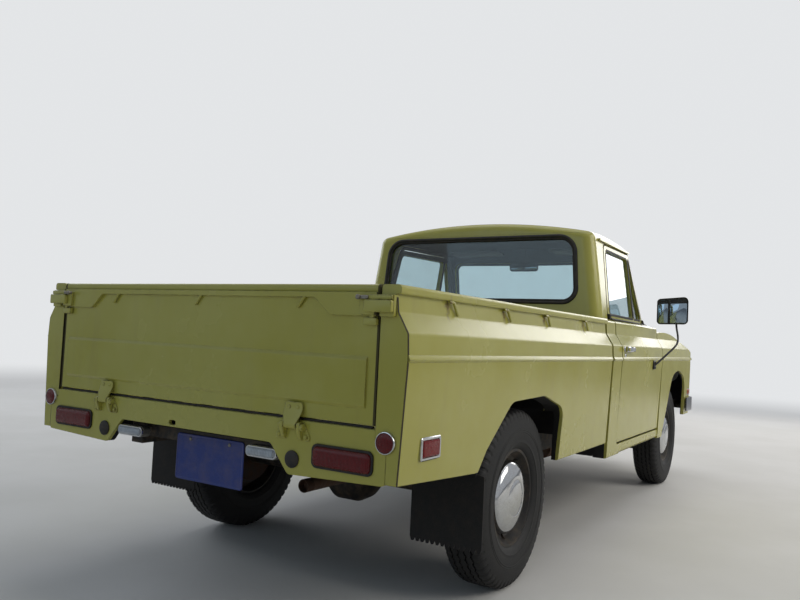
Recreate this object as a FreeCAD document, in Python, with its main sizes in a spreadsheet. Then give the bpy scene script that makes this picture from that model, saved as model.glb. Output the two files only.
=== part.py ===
import FreeCAD, Part
import Sketcher
import math
import os

# Compact pickup truck. The frame has +X forward, +Y to the truck's left and +Z up, with the
# origin on the ground below the middle of the truck. Everything is drawn first with x = 0 at
# the rear face of the body, and each finished piece is then shifted back by half the length.

doc = FreeCAD.newDocument("pickup_truck")
sheet = doc.addObject("Spreadsheet::Sheet", "Sizes")

# Driving dimensions in millimetres: name, value.
SIZES = [
    ("hinge_reach", 20), ("rear_overhang", 940), ("bed_length", 1950), ("cab_gap", 25),
    ("quarter_width", 165), ("door_width", 945), ("cowl_width", 53), ("hood_length", 929),
    ("face_depth", 53), ("bumper_reach", 80), ("front_axle_setback", 495), ("seam", 8),
    ("body_width", 1580), ("crease_height", 845), ("shoulder_height", 915),
    ("waist_height", 971), ("belt_height", 1050), ("shoulder_inset", 4), ("waist_inset", 38),
    ("belt_inset", 42), ("skirt_inset", 22), ("side_depth", 90), ("skirt_wall", 30),
    ("skirt_height", 433), ("tail_skirt_height", 500), ("rocker_height", 357),
    ("door_bottom", 417), ("cab_floor_height", 470), ("floor_thickness", 25),
    ("rail_height", 1045), ("rail_depth", 26), ("rail_width", 61), ("bed_floor_height", 655),
    ("bed_wall", 25), ("rib_pitch", 140), ("rib_rise", 8),
    ("tailgate_bottom", 664), ("tailgate_thickness", 42), ("hinge_height", 640),
    ("hook_wire", 4.5), ("hook_drop", 38), ("hook_run", 30), ("hook_bend", 10),
    ("latch_height", 957), ("latch_tall", 60), ("latch_width", 55), ("catch_depth", 14),
    ("stiffener_step", 49), ("marker_set", 6), ("fuel_cap_radius", 44),
    ("reflector_radius", 30), ("reflector_height", 624),
    ("hinge_offset", 11), ("hinge_spread", 420), ("sill_notch_height", 580),
    ("arch_top", 707), ("arch_rear", 486), ("arch_front", 1293), ("bed_inner_half", 700),
    ("glass_base_half", 722), ("glass_top_half", 638), ("glass_taper", 0.032),
    ("glass_base_height", 980), ("glass_top_height", 1580),
    ("cab_wall", 28), ("roof_height", 1572), ("roof_wall", 30), ("roof_long_radius", 5500),
    ("roof_cross_radius", 3300), ("drip_height", 1454), ("roof_seam_height", 1490),
    ("windshield_lean", 280), ("windshield_bow", 45), ("roof_edge", 45), ("drip_rail_reach", 12),
    ("hood_peak", 1040), ("hood_long_radius", 2450), ("hood_cross_radius", 12000),
    ("hood_wall", 22), ("hood_half", 685), ("glass_thickness", 5),
    ("glass_set", 11), ("tyre_radius", 328), ("tyre_width", 164), ("rim_radius", 180),
    ("rim_width", 132), ("slot_radius", 9), ("track", 1300), ("kingpin_half", 560),
    ("hubcap_radius", 135),
    ("frame_half", 360), ("frame_width", 56), ("frame_depth", 100), ("frame_height", 338),
    ("axle_tube_radius", 38), ("differential_radius", 120), ("steering_wheel_radius", 195),
    ("steering_offset", 340), ("plate_width", 305), ("plate_tall", 152), ("mudflap_height", 225),
    ("mudflap_thickness", 6), ("rail_inset", 29), ("house_reach", 345), ("house_rise", 150),
    ("house_round", 130), ("house_wall", 20), ("house_room", 90), ("rib_half", 30),
    ("rib_slope", 8), ("marker_depth", 26), ("sill_depth", 30), ("notch_half", 335),
    ("notch_slope", 70), ("sill_corner", 12), ("lamp_low", 529), ("lamp_high", 596),
    ("lamp_near", 493), ("lamp_far", 699), ("lamp_round", 18), ("bezel_rim", 7),
    ("bezel_reach", 5), ("lens_reach", 9), ("strap_half", 21), ("bracket_gap", 3),
    ("bracket_wide", 12), ("hinge_pin_radius", 5), ("knuckle_radius", 9),
    ("grille_half", 380), ("grille_low", 640), ("grille_high", 828), ("grille_rim", 12),
    ("headlamp_height", 742), ("headlamp_bulge", 18), ("turn_near", 430), ("turn_far", 640),
    ("turn_low", 590), ("turn_high", 632), ("turn_reach", 12), ("bumper_wrap", 300),
    ("bumper_wall", 8), ("bumper_overlap", 6), ("door_handle_length", 130),
    ("door_handle_half", 10), ("door_handle_reach", 14), ("mirror_set_back", 233),
    ("mirror_low", 1056), ("mirror_high", 1237), ("mirror_near", 767), ("mirror_far", 952),
    ("mirror_depth", 25), ("mirror_arm_radius", 6), ("mirror_arm_length", 300),
    ("seat_foot_half", 20), ("seat_clearance", 62), ("seat_rise", 120), ("seat_length", 480),
    ("seat_back_height", 434), ("dash_low", 866), ("dash_high", 955), ("dash_reach", 204.7),
    ("steering_height", 920), ("column_radius", 26), ("hub_radius", 30), ("spoke_width", 36),
    ("inside_mirror_half", 97), ("inside_mirror_low", 1372), ("inside_mirror_high", 1430),
    ("tank_low", 300), ("tank_high", 520), ("pipe_radius", 22), ("silencer_radius", 62),
    ("silencer_length", 480), ("engine_half", 210), ("engine_top", 880), ("radiator_half", 330),
    ("radiator_top", 850), ("bay_half", 432), ("bay_top", 862), ("bay_wall", 12),
    ("spring_half", 565), ("leaf_thickness", 12), ("hub_length", 30), ("axle_hub_radius", 60),
    ("plate_low", 397), ("plate_wall", 3), ("backup_low", 528), ("backup_high", 562),
    ("backup_near", 235), ("backup_far", 356),
    ("bumper_height", 476), ("bumper_depth", 94), ("headlamp_radius", 72),
]
for row, (name, value) in enumerate(SIZES, start=1):
    sheet.set(f"A{row}", name)
    sheet.set(f"B{row}", str(value))
    sheet.setAlias(f"B{row}", name)
doc.recompute()


class Dim:
    """A length together with the expression that binds it to the sheet."""

    def __init__(self, value, text):
        self.value = float(value)
        self.text = text

    @staticmethod
    def of(other):
        return other if isinstance(other, Dim) else Dim(other, repr(float(other)))

    def __add__(self, other):
        other = Dim.of(other)
        return Dim(self.value + other.value, f"({self.text} + {other.text})")

    def __sub__(self, other):
        other = Dim.of(other)
        return Dim(self.value - other.value, f"({self.text} - {other.text})")

    def __mul__(self, other):
        other = Dim.of(other)
        return Dim(self.value * other.value, f"({self.text} * {other.text})")

    def __truediv__(self, other):
        other = Dim.of(other)
        return Dim(self.value / other.value, f"({self.text} / {other.text})")

    def __neg__(self):
        return Dim(-self.value, f"(0 - {self.text})")

    def __rsub__(self, other):
        return Dim.of(other) - self

    __radd__ = __add__
    __rmul__ = __mul__


class Sizes:
    """Every cell of the sheet as a Dim attribute."""


size = Sizes()
for name, _ in SIZES:
    setattr(size, name, Dim(sheet.get(name), f"Sizes.{name}"))

# Stations along the truck, measured forward from the rear face of the body.
x_rear_axle = size.rear_overhang
x_bed_front = size.bed_length
x_cab_rear = x_bed_front + size.cab_gap
x_door_rear = x_cab_rear + size.quarter_width
x_door_front = x_door_rear + size.door_width
x_hood_rear = x_door_front + size.cowl_width
x_hood_front = x_hood_rear + size.hood_length
x_face = x_hood_front + size.face_depth
x_bumper = x_face + size.bumper_reach
x_front_axle = x_door_front + size.front_axle_setback
half_length = (x_bumper + size.hinge_reach) / 2
half_body = size.body_width / 2
wheel_half = size.track / 2
SIDES = (("left", 1), ("right", -1))
# Shapes that are fused run into each other by weld, pieces that only touch are a hair apart,
# and a cut runs past the faces it opens.
weld = 1
hair = 0.3
beyond = 10

PLANES = {"XY": "XY_Plane", "XZ": "XZ_Plane", "YZ": "YZ_Plane"}


def origin_plane(body, plane):
    """The body's own origin plane, found by its role."""
    return next(f for f in body.Origin.OriginFeatures if f.Role == PLANES[plane])


def bind(target, prop, dim):
    """Set a property to a length and bind it to the sheet."""
    target.setExpression(prop, Dim.of(dim).text)


def new_body(label):
    body = doc.addObject("PartDesign::Body", label)
    body.Label = label
    body.AllowCompound = True
    return body


def draw_circle(sketch, centre_a, centre_b, radius):
    """A circle with its centre and radius bound."""
    a, b, r = Dim.of(centre_a), Dim.of(centre_b), Dim.of(radius)
    centre = FreeCAD.Vector(a.value, b.value, 0)
    circle = sketch.addGeometry(Part.Circle(centre, FreeCAD.Vector(0, 0, 1), r.value), False)
    for kind, dim in (("DistanceX", a), ("DistanceY", b)):
        index = sketch.addConstraint(Sketcher.Constraint(kind, -1, 1, circle, 3, dim.value))
        sketch.setExpression(f"Constraints[{index}]", dim.text)
    index = sketch.addConstraint(Sketcher.Constraint("Radius", circle, r.value))
    sketch.setExpression(f"Constraints[{index}]", r.text)


def draw_outline(sketch, points):
    """A closed outline through (a, b, corner radius) points, round where the radius is not 0."""
    corners = [(Dim.of(a), Dim.of(b), Dim.of(r)) for a, b, r in points]
    spots = [FreeCAD.Vector(a.value, b.value, 0) for a, b, r in corners]
    count = len(spots)
    starts, ends, middles = [], [], []
    for i, spot in enumerate(spots):
        back = (spots[i - 1] - spot).normalize()
        ahead = (spots[(i + 1) % count] - spot).normalize()
        radius = corners[i][2].value
        half_angle = back.getAngle(ahead) / 2
        reach = radius / math.tan(half_angle)
        starts.append(spot + back * reach)
        ends.append(spot + ahead * reach)
        centre = spot + (back + ahead).normalize() * (radius / math.sin(half_angle))
        middles.append(centre + (spot - centre).normalize() * radius if radius else None)
    lines = [sketch.addGeometry(Part.LineSegment(ends[i], starts[(i + 1) % count]), False)
             for i in range(count)]
    for i, (a, b, radius) in enumerate(corners):
        before, after = lines[i - 1], lines[i]
        if middles[i] is None:
            sketch.addConstraint(Sketcher.Constraint("Coincident", before, 2, after, 1))
            point = after
        else:
            arc = sketch.addGeometry(Part.Arc(starts[i], middles[i], ends[i]), False)
            forward = (sketch.getPoint(arc, 1) - starts[i]).Length < 1e-6
            first, last = (1, 2) if forward else (2, 1)
            sketch.addConstraint(Sketcher.Constraint("Tangent", before, 2, arc, first))
            sketch.addConstraint(Sketcher.Constraint("Tangent", arc, last, after, 1))
            index = sketch.addConstraint(Sketcher.Constraint("Radius", arc, radius.value))
            sketch.setExpression(f"Constraints[{index}]", radius.text)
            point = sketch.addGeometry(Part.Point(spots[i]), True)
            sketch.addConstraint(Sketcher.Constraint("PointOnObject", point, 1, before))
            sketch.addConstraint(Sketcher.Constraint("PointOnObject", point, 1, after))
        for kind, dim in (("DistanceX", a), ("DistanceY", b)):
            index = sketch.addConstraint(Sketcher.Constraint(kind, -1, 1, point, 1, dim.value))
            sketch.setExpression(f"Constraints[{index}]", dim.text)


def draw_path(sketch, points):
    """An open run of straight lines joined by tangent arcs, all bound."""
    corners = [(Dim.of(a), Dim.of(b), Dim.of(r)) for a, b, r in points]
    spots = [FreeCAD.Vector(a.value, b.value, 0) for a, b, r in corners]
    starts, ends, middles = [spots[0]], [spots[0]], [None]
    for i in range(1, len(spots) - 1):
        spot, radius = spots[i], corners[i][2].value
        back = (spots[i - 1] - spot).normalize()
        ahead = (spots[i + 1] - spot).normalize()
        half_angle = back.getAngle(ahead) / 2
        reach = radius / math.tan(half_angle)
        centre = spot + (back + ahead).normalize() * (radius / math.sin(half_angle))
        starts.append(spot + back * reach)
        ends.append(spot + ahead * reach)
        middles.append(centre + (spot - centre).normalize() * radius)
    starts.append(spots[-1])
    lines = [sketch.addGeometry(Part.LineSegment(ends[i], starts[i + 1]), False)
             for i in range(len(spots) - 1)]
    fixed = [(lines[0], 1, corners[0]), (lines[-1], 2, corners[-1])]
    for i in range(1, len(spots) - 1):
        before, after, radius = lines[i - 1], lines[i], corners[i][2]
        arc = sketch.addGeometry(Part.Arc(starts[i], middles[i], ends[i]), False)
        forward = (sketch.getPoint(arc, 1) - starts[i]).Length < 1e-6
        first, last = (1, 2) if forward else (2, 1)
        sketch.addConstraint(Sketcher.Constraint("Tangent", before, 2, arc, first))
        sketch.addConstraint(Sketcher.Constraint("Tangent", arc, last, after, 1))
        index = sketch.addConstraint(Sketcher.Constraint("Radius", arc, radius.value))
        sketch.setExpression(f"Constraints[{index}]", radius.text)
        point = sketch.addGeometry(Part.Point(spots[i]), True)
        sketch.addConstraint(Sketcher.Constraint("PointOnObject", point, 1, before))
        sketch.addConstraint(Sketcher.Constraint("PointOnObject", point, 1, after))
        fixed.append((point, 1, corners[i]))
    for item, end, (a, b, radius) in fixed:
        for kind, dim in (("DistanceX", a), ("DistanceY", b)):
            index = sketch.addConstraint(Sketcher.Constraint(kind, -1, 1, item, end, dim.value))
            sketch.setExpression(f"Constraints[{index}]", dim.text)


def new_sketch(body, plane, offset, outlines, centre=(0, 0)):
    """A sketch on an origin plane, offset along the plane's normal, its origin at centre."""
    sketch = body.newObject("Sketcher::SketchObject", f"{body.Label}_sketch")
    sketch.AttachmentSupport = [(origin_plane(body, plane), "")]
    sketch.MapMode = "FlatFace"
    bind(sketch, "AttachmentOffset.Base.x", centre[0])
    bind(sketch, "AttachmentOffset.Base.y", centre[1])
    bind(sketch, "AttachmentOffset.Base.z", offset)
    for outline in outlines:
        if len(outline) == 3 and not isinstance(outline[0], tuple):
            draw_circle(sketch, *outline)
        else:
            draw_outline(sketch, outline)
    return sketch


def ordered(low, high):
    low, high = Dim.of(low), Dim.of(high)
    return (low, high) if low.value <= high.value else (high, low)


def add_pad(body, plane, outlines, low, high):
    """Pad outlines between two places along the plane's normal axis."""
    low, high = ordered(low, high)
    offset = -high if plane == "XZ" else low
    sketch = new_sketch(body, plane, offset, outlines)
    pad = body.newObject("PartDesign::Pad", f"{body.Label}_pad")
    pad.Profile = sketch
    pad.Length = (high - low).value
    bind(pad, "Length", high - low)
    return pad


def add_pocket(body, plane, outlines, low, high):
    """Cut outlines away between two places along the plane's normal axis."""
    low, high = ordered(low, high)
    offset = -low if plane == "XZ" else high
    sketch = new_sketch(body, plane, offset, outlines)
    pocket = body.newObject("PartDesign::Pocket", f"{body.Label}_pocket")
    pocket.Profile = sketch
    pocket.Length = (high - low).value
    bind(pocket, "Length", high - low)
    return pocket


def slab(label, plane, outlines, low, high):
    body = new_body(label)
    add_pad(body, plane, outlines, low, high)
    return body


def turned(label, plane, centre, offset, outline):
    """A full turn of an outline about the sketch's horizontal axis, which passes centre."""
    body = new_body(label)
    sketch = new_sketch(body, plane, offset, [outline], centre)
    turn = body.newObject("PartDesign::Revolution", f"{label}_turn")
    turn.Profile = sketch
    turn.ReferenceAxis = (sketch, ["H_Axis"])
    turn.Angle = 360
    return body


def lofted(label, sections):
    """A straight loft through (height, outline) sections."""
    body = new_body(label)
    sketches = [new_sketch(body, "XY", height, [outline]) for height, outline in sections]
    loft = body.newObject("PartDesign::AdditiveLoft", f"{label}_loft")
    loft.Profile = sketches[0]
    loft.Sections = sketches[1:]
    loft.Ruled = True
    return body


def cut(label, base, *tools):
    """What is left of base outside the tools."""
    result = base
    for number, tool in enumerate(tools):
        step = doc.addObject("Part::Cut", f"{label}_cut")
        step.Base = result
        step.Tool = tool
        result = step
    result.Label = label
    return result


def common(label, base, tool):
    result = doc.addObject("Part::Common", f"{label}_common")
    result.Base = base
    result.Tool = tool
    result.Label = label
    return result


def fuse(label, *pieces):
    result = doc.addObject("Part::MultiFuse", f"{label}_fuse")
    result.Shapes = list(pieces)
    result.Label = label
    return result


def group(label, *pieces):
    """Separate solids of one kind kept in one piece."""
    result = doc.addObject("Part::Compound", f"{label}_group")
    result.Links = list(pieces)
    result.Label = label
    return result


def piped(label, plane, place, path, radius):
    """A round rod along a path in a plane at a place; the path starts along its first axis."""
    body = new_body(label)
    route = new_sketch(body, plane, -Dim.of(place) if plane == "XZ" else place, [])
    draw_path(route, path)
    start, height = path[0][0], path[0][1]
    if plane == "XZ":
        profile = new_sketch(body, "YZ", start, [(place, height, radius)])
    else:
        profile = new_sketch(body, "XZ", -Dim.of(start), [(place, height, radius)])
    pipe = body.newObject("PartDesign::AdditivePipe", f"{label}_pipe")
    pipe.Profile = profile
    pipe.Spine = route
    return body


def rect(a_low, a_high, b_low, b_high, radius=0):
    return [(a_low, b_low, radius), (a_high, b_low, radius),
            (a_high, b_high, radius), (a_low, b_high, radius)]


def cylinder(label, x, y, z, direction, radius, length):
    """A round bar from (x, y, z) along a direction, with its place and sizes bound."""
    bar = doc.addObject("Part::Cylinder", label)
    bar.Label = label
    bind(bar, "Radius", radius)
    bind(bar, "Height", length)
    bar.Placement = FreeCAD.Placement(
        FreeCAD.Vector(0, 0, 0), FreeCAD.Rotation(FreeCAD.Vector(0, 0, 1), direction))
    for axis, dim in (("x", x), ("y", y), ("z", z)):
        bind(bar, f"Placement.Base.{axis}", dim)
    return bar


ALONG_X = FreeCAD.Vector(1, 0, 0)
ALONG_Z = FreeCAD.Vector(0, 0, 1)
NODES = []


def keep(node):
    """Count a finished piece as a node and shift it to the truck's own frame."""
    NODES.append(node)
    return node


# Body side. The pressed side has its ridge at the crease, leans in above it to a waist and
# turns under to the skirt. The same outline runs along the bed, the doors and the fenders.
half_skirt = half_body - size.skirt_inset
half_shoulder = half_body - size.shoulder_inset
half_waist = half_body - size.waist_inset
half_belt = half_body - size.belt_inset
half_inner = half_body - size.side_depth


def side_outline(side, bottom, top_points):
    """Outer points of the body side from the bottom up, then the given points."""
    outer = [(half_skirt, bottom, 8), (half_body, size.crease_height, 12),
             (half_shoulder, size.shoulder_height, 20), (half_waist, size.waist_height, 12)]
    return [(Dim.of(y) * side, z, r) for y, z, r in outer + top_points]


# Load bed: floor with pressed ribs, double-walled sides with a rolled rail, front wall,
# wheel housings and the sill below the tailgate.
rail_bottom = size.rail_height - size.rail_depth
half_rail_outer = half_body - size.rail_inset
floor_bottom = size.bed_floor_height - size.floor_thickness
half_bed = size.bed_inner_half
half_lower_wall = half_skirt - size.skirt_wall
arch_drop = size.arch_top - 60
below_skirt = size.rocker_height - 7
cut_inner = half_bed - 20
cut_outer = half_body + beyond
ARCH = [(size.arch_rear, below_skirt, 0), (size.arch_rear, 470, 0), (size.arch_rear + 68, 553, 30),
        (size.arch_rear + 250, size.arch_top - 8, 90),
        (size.arch_front - 240, size.arch_top, 90), (size.arch_front - 10, arch_drop, 60),
        (size.arch_front - 26, size.skirt_height, 0), (size.arch_front - 26, below_skirt, 0)]

floor = slab("bed_floor", "XY", [rect(5, x_bed_front - size.bed_wall, -half_bed, half_bed)],
             floor_bottom, size.bed_floor_height)
house_low = x_rear_axle - size.house_reach
house_high = x_rear_axle + size.house_reach
house_inner = wheel_half - size.tyre_width / 2 - size.house_room
for side_name, side in SIDES:
    add_pocket(floor, "XY", [rect(house_low, house_high, house_inner * side, half_bed * side)],
               floor_bottom - weld, size.bed_floor_height + weld)
rib_base = size.bed_floor_height - weld
rib_top = size.bed_floor_height + size.rib_rise
rib_lines = [size.rib_pitch * step for step in range(-3, 4)]
rib_crown = size.rib_half - size.rib_slope
add_pad(floor, "YZ", [[(y - size.rib_half, rib_base, 0), (y + size.rib_half, rib_base, 0),
                       (y + rib_crown, rib_top, 3), (y - rib_crown, rib_top, 3)]
                      for y in rib_lines], 60, x_bed_front - 120)
keep(floor)

houses = []
house_top = size.bed_floor_height + size.house_rise
room_low, room_high = house_low + size.house_wall, house_high - size.house_wall
room_top, room_round = house_top - size.house_wall, size.house_round - size.house_wall
for side_name, side in SIDES:
    house = slab(f"wheelhouse_{side_name}", "XZ",
                 [[(house_low, floor_bottom, 0), (house_low, house_top, size.house_round),
                   (house_high, house_top, size.house_round), (house_high, floor_bottom, 0)]],
                 house_inner * side, half_bed * side)
    add_pocket(house, "XZ",
               [[(room_low, floor_bottom - weld, 0), (room_low, room_top, room_round),
                 (room_high, room_top, room_round), (room_high, floor_bottom - weld, 0)]],
               (house_inner + size.house_wall) * side, (half_bed + weld) * side)
    houses.append(house)
keep(group("wheelhouses", *houses))

# Rope hooks, bent rods welded under the rails. SIDE_HOOKS gives the distance of each from the
# rear face, GATE_HOOKS the place of each across the tailgate.
SIDE_HOOKS = [309, 719, 1120, 1616]
GATE_HOOKS = [-442, -20, 385]
hook_y = half_rail_outer - size.hook_wire + weld / 2
hook_z = rail_bottom - size.hook_wire + weld


def rope_hook(label, plane, place, bend):
    """A rod that runs under the rail to its bend and then slopes down."""
    return piped(label, plane, place, [
        (Dim.of(bend) - size.hook_run, hook_z, 0), (Dim.of(bend), hook_z, size.hook_bend),
        (Dim.of(bend) + size.hook_run, hook_z - size.hook_drop, 0)], size.hook_wire)


# Recess of the side marker lamp: rear, front, lower and upper edge.
MARKER = (Dim.of(109), Dim.of(219), Dim.of(569), Dim.of(630))
marker_floor = half_body - size.marker_depth
for side_name, side in SIDES:
    wall = slab(f"bed_wall_{side_name}", "YZ", [side_outline(side, size.skirt_height, [
        (half_waist - 5, rail_bottom, 0), (half_rail_outer, rail_bottom, 6),
        (half_rail_outer, size.rail_height, 10), (half_bed, size.rail_height, 10),
        (half_bed, floor_bottom, 0), (half_lower_wall, floor_bottom, 0),
        (half_lower_wall, size.skirt_height, 0)])], 0, x_bed_front)
    add_pocket(wall, "XZ", [ARCH], cut_inner * side, cut_outer * side)
    add_pocket(wall, "XZ", [[(-5, below_skirt, 0), (size.arch_rear, below_skirt, 0),
                             (size.arch_rear, 485, 0), (-5, size.tail_skirt_height + 15, 0)]],
               cut_inner * side, cut_outer * side)
    add_pocket(wall, "XZ", [rect(*MARKER, 4)], marker_floor * side, cut_outer * side)
    add_pad(wall, "YZ", [rect((half_bed + 4) * side, (half_waist - 4) * side, size.latch_height,
                              size.latch_height + size.latch_tall, 4)], -size.catch_depth, 1)
    if side_name == "left":
        add_pad(wall, "XZ", [(x_bed_front - 230, size.shoulder_height - 10, size.fuel_cap_radius)],
                half_body - 20, half_body + weld)
    hooks = [rope_hook(f"rope_hook_{side_name}", "XZ", hook_y * side, x) for x in SIDE_HOOKS]
    keep(fuse(f"bed_side_{side_name}", wall, *hooks))

headboard = slab("bed_headboard", "YZ",
                 [rect(-half_bed, half_bed, size.bed_floor_height - 25, rail_bottom)],
                 x_bed_front - size.bed_wall, x_bed_front)
add_pad(headboard, "XZ", [rect(x_bed_front - size.rail_width + 8, x_bed_front, rail_bottom,
                               size.rail_height, 8)], -half_bed, half_bed)
keep(headboard)

# Rear sill: the full-width panel below the tailgate, notched in the middle.
half_sill = half_lower_wall - 1
sill_bottom = size.tail_skirt_height - 3
corner_z = sill_bottom + size.sill_corner
notch_foot = size.notch_half + size.notch_slope
sill_top = size.bed_floor_height - 1
# The small oval hole in the sill: near and far side, lower and upper edge, corner radius.
SILL_HOLE = (69, 101, 586, 602, 7.5)
sill = slab("sill_panel", "YZ", [[
    (-half_bed, sill_top, 0), (half_bed, sill_top, 0), (half_bed, floor_bottom - 1, 0),
    (half_sill, floor_bottom - 1, 0), (half_sill, corner_z, size.sill_corner),
    (notch_foot, sill_bottom, 20), (size.notch_half, size.sill_notch_height, 20),
    (-size.notch_half, size.sill_notch_height, 20), (-notch_foot, sill_bottom, 20),
    (-half_sill, corner_z, size.sill_corner), (-half_sill, floor_bottom - 1, 0),
    (-half_bed, floor_bottom - 1, 0)]], 0, size.sill_depth)
add_pocket(sill, "XY", [rect(4, size.sill_depth + weld, -half_bed - weld, half_bed + weld)],
           floor_bottom - 1, size.bed_floor_height)
add_pocket(sill, "YZ", [rect(*SILL_HOLE)], -weld, size.sill_depth + weld)
lamp_opening = {}
lens_outline = {}
for side_name, side in SIDES:
    lamp_opening[side_name] = rect(size.lamp_near * side, size.lamp_far * side, size.lamp_low,
                                   size.lamp_high, size.lamp_round)
    lens_outline[side_name] = rect((size.lamp_near + size.bezel_rim) * side,
                                   (size.lamp_far - size.bezel_rim) * side,
                                   size.lamp_low + size.bezel_rim, size.lamp_high - size.bezel_rim,
                                   size.lamp_round - size.bezel_rim)
    add_pocket(sill, "YZ", [lamp_opening[side_name]], -weld, size.sill_depth + weld)

# Tail lamps: a dark rounded bezel through the sill around a red lens, and a round reflector
# beside it. Rear side markers sit in the flank.
bezels = []
lenses = []
for side_name, side in SIDES:
    bezels.append(slab(f"tail_bezel_{side_name}", "YZ",
                       [lamp_opening[side_name], lens_outline[side_name]],
                       -size.bezel_reach, size.sill_depth - 2))
    lenses.append(slab(f"tail_lens_{side_name}", "YZ", [lens_outline[side_name]],
                       -size.lens_reach, size.sill_depth - beyond))
    lenses.append(slab(f"reflector_{side_name}", "YZ", [
        ((half_lower_wall - 2) * side, size.reflector_height, size.reflector_radius)], -8, -hair))
    lenses.append(slab(f"side_marker_{side_name}", "XZ", [
        rect(MARKER[0] + 1, MARKER[1] - 1, MARKER[2] + 1, MARKER[3] - 1, 3)],
        (marker_floor + hair) * side, (half_body - size.marker_set) * side))
keep(group("lamp_bezels", *bezels))
keep(group("tail_lamps", *lenses))

# Tailgate: a pressed door hinged at its lower edge, with a raised band across its face and
# two hinge straps down to the pins.
half_gate = half_bed - size.seam + 3
gate_front = size.tailgate_thickness + 4
gate = slab("gate_panel", "YZ", [rect(-half_gate, half_gate, size.tailgate_bottom, rail_bottom)],
            4, gate_front)
add_pad(gate, "XZ", [rect(-2, gate_front + 4, rail_bottom, size.rail_height, 10)],
        -half_gate, half_gate)
add_pad(gate, "XZ", [[(5, 704, 0), (-2, 714, 4), (-2, size.crease_height - 6, 4),
                      (5, size.crease_height + 4, 0)]], -half_gate + 34, half_gate - 34)
stiffener_low = size.latch_height + 1
stiffener_high = stiffener_low + size.stiffener_step
step_inner = half_gate - 220
step_outer = half_gate - 163
add_pad(gate, "YZ", [[(-half_gate, rail_bottom + 4, 0), (-half_gate, stiffener_low, 6),
                      (-step_outer, stiffener_low, 12), (-step_inner, stiffener_high, 12),
                      (step_inner, stiffener_high, 12), (step_outer, stiffener_low, 12),
                      (half_gate, stiffener_low, 6), (half_gate, rail_bottom + 4, 0)]], -7, 5)
for side in (1, -1):
    add_pad(gate, "YZ", [rect((half_gate - 1 - size.latch_width) * side, (half_gate - 1) * side,
                              size.latch_height + 4, size.latch_height + size.latch_tall - 4, 4)],
            -size.catch_depth - 2, 5)
gate_hooks = [rope_hook("gate_hook", "YZ", -2.5, y) for y in GATE_HOOKS]
hinge_x = -size.hinge_offset
hinge_brackets = []
for side in (1, -1):
    strap_low = (size.hinge_spread - size.strap_half) * side
    strap_high = (size.hinge_spread + size.strap_half) * side
    add_pad(gate, "XZ", [[(hinge_x - 7, size.hinge_height, 0), (hinge_x + 5, size.hinge_height, 0),
                          (hinge_x + 6, size.hinge_height + 20, 0),
                          (4.5, size.tailgate_bottom + 8, 0), (4.5, size.tailgate_bottom + 34, 0),
                          (-2, size.tailgate_bottom + 34, 0)]], strap_low, strap_high)
    add_pad(gate, "XZ", [(hinge_x, size.hinge_height, size.knuckle_radius)], strap_low, strap_high)
    add_pocket(gate, "XZ", [(hinge_x, size.hinge_height, size.hinge_pin_radius + hair)],
               strap_low - weld * side, strap_high + weld * side)
    near = size.strap_half + size.bracket_gap
    far = near + size.bracket_wide
    bracket = slab("hinge_bracket", "XZ", [(hinge_x, size.hinge_height, size.hinge_pin_radius)],
                   (size.hinge_spread - far) * side, (size.hinge_spread + far) * side)
    for low, high in ((-far, -near), (near, far)):
        add_pad(bracket, "XZ", [[(hinge_x - 8, size.hinge_height + 6, 4), (0, size.hinge_height + 8, 0),
                                 (0, size.hinge_height - 30, 0), (hinge_x - 3, size.hinge_height - 26, 4)]],
                (size.hinge_spread + low) * side, (size.hinge_spread + high) * side)
    hinge_brackets.append(bracket)
keep(fuse("tailgate", gate, *gate_hooks))
keep(fuse("bed_rear_sill", sill, *hinge_brackets))

# Cab. The upper part is a straight loft that leans in at the sides and back at the
# windshield, capped by a roof that is arched both ways. A smaller copy hollows it.
def greenhouse_section(inset, base):
    """Plan outline of the glass house at its base or at its top, narrower in front."""
    half = (size.glass_base_half if base else size.glass_top_half) - inset
    rear = x_cab_rear + 8 + inset + (0 if base else 22)
    front = x_hood_rear - 50 - inset - (0 if base else size.windshield_lean)
    front_half = half - (front - rear) * size.glass_taper
    bow = size.windshield_bow
    return [(rear, -half, 60), (front, -front_half, 70), (front + bow, 0, 1500),
            (front, front_half, 70), (rear, half, 60)]


def side_wall(label, side, inset, thickness):
    """The flat side of the glass house beside a door, set in from its outer face."""
    sections = []
    for base in (True, False):
        rear, wide, _ = greenhouse_section(0, base)[4]
        low_x, high_x = x_door_rear - 30, x_door_front
        outer = [wide - (x - rear) * size.glass_taper - inset for x in (low_x, high_x)]
        height = size.glass_base_height if base else size.glass_top_height
        sections.append((height, [
            (low_x, outer[0] * side, 0), (high_x, outer[1] * side, 0),
            (high_x, (outer[1] - thickness) * side, 0), (low_x, (outer[0] - thickness) * side, 0)]))
    return lofted(label, sections)


def greenhouse(label, inset):
    return lofted(label, [
        (size.glass_base_height, greenhouse_section(inset, True)),
        (size.glass_top_height, greenhouse_section(inset, False))])


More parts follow.
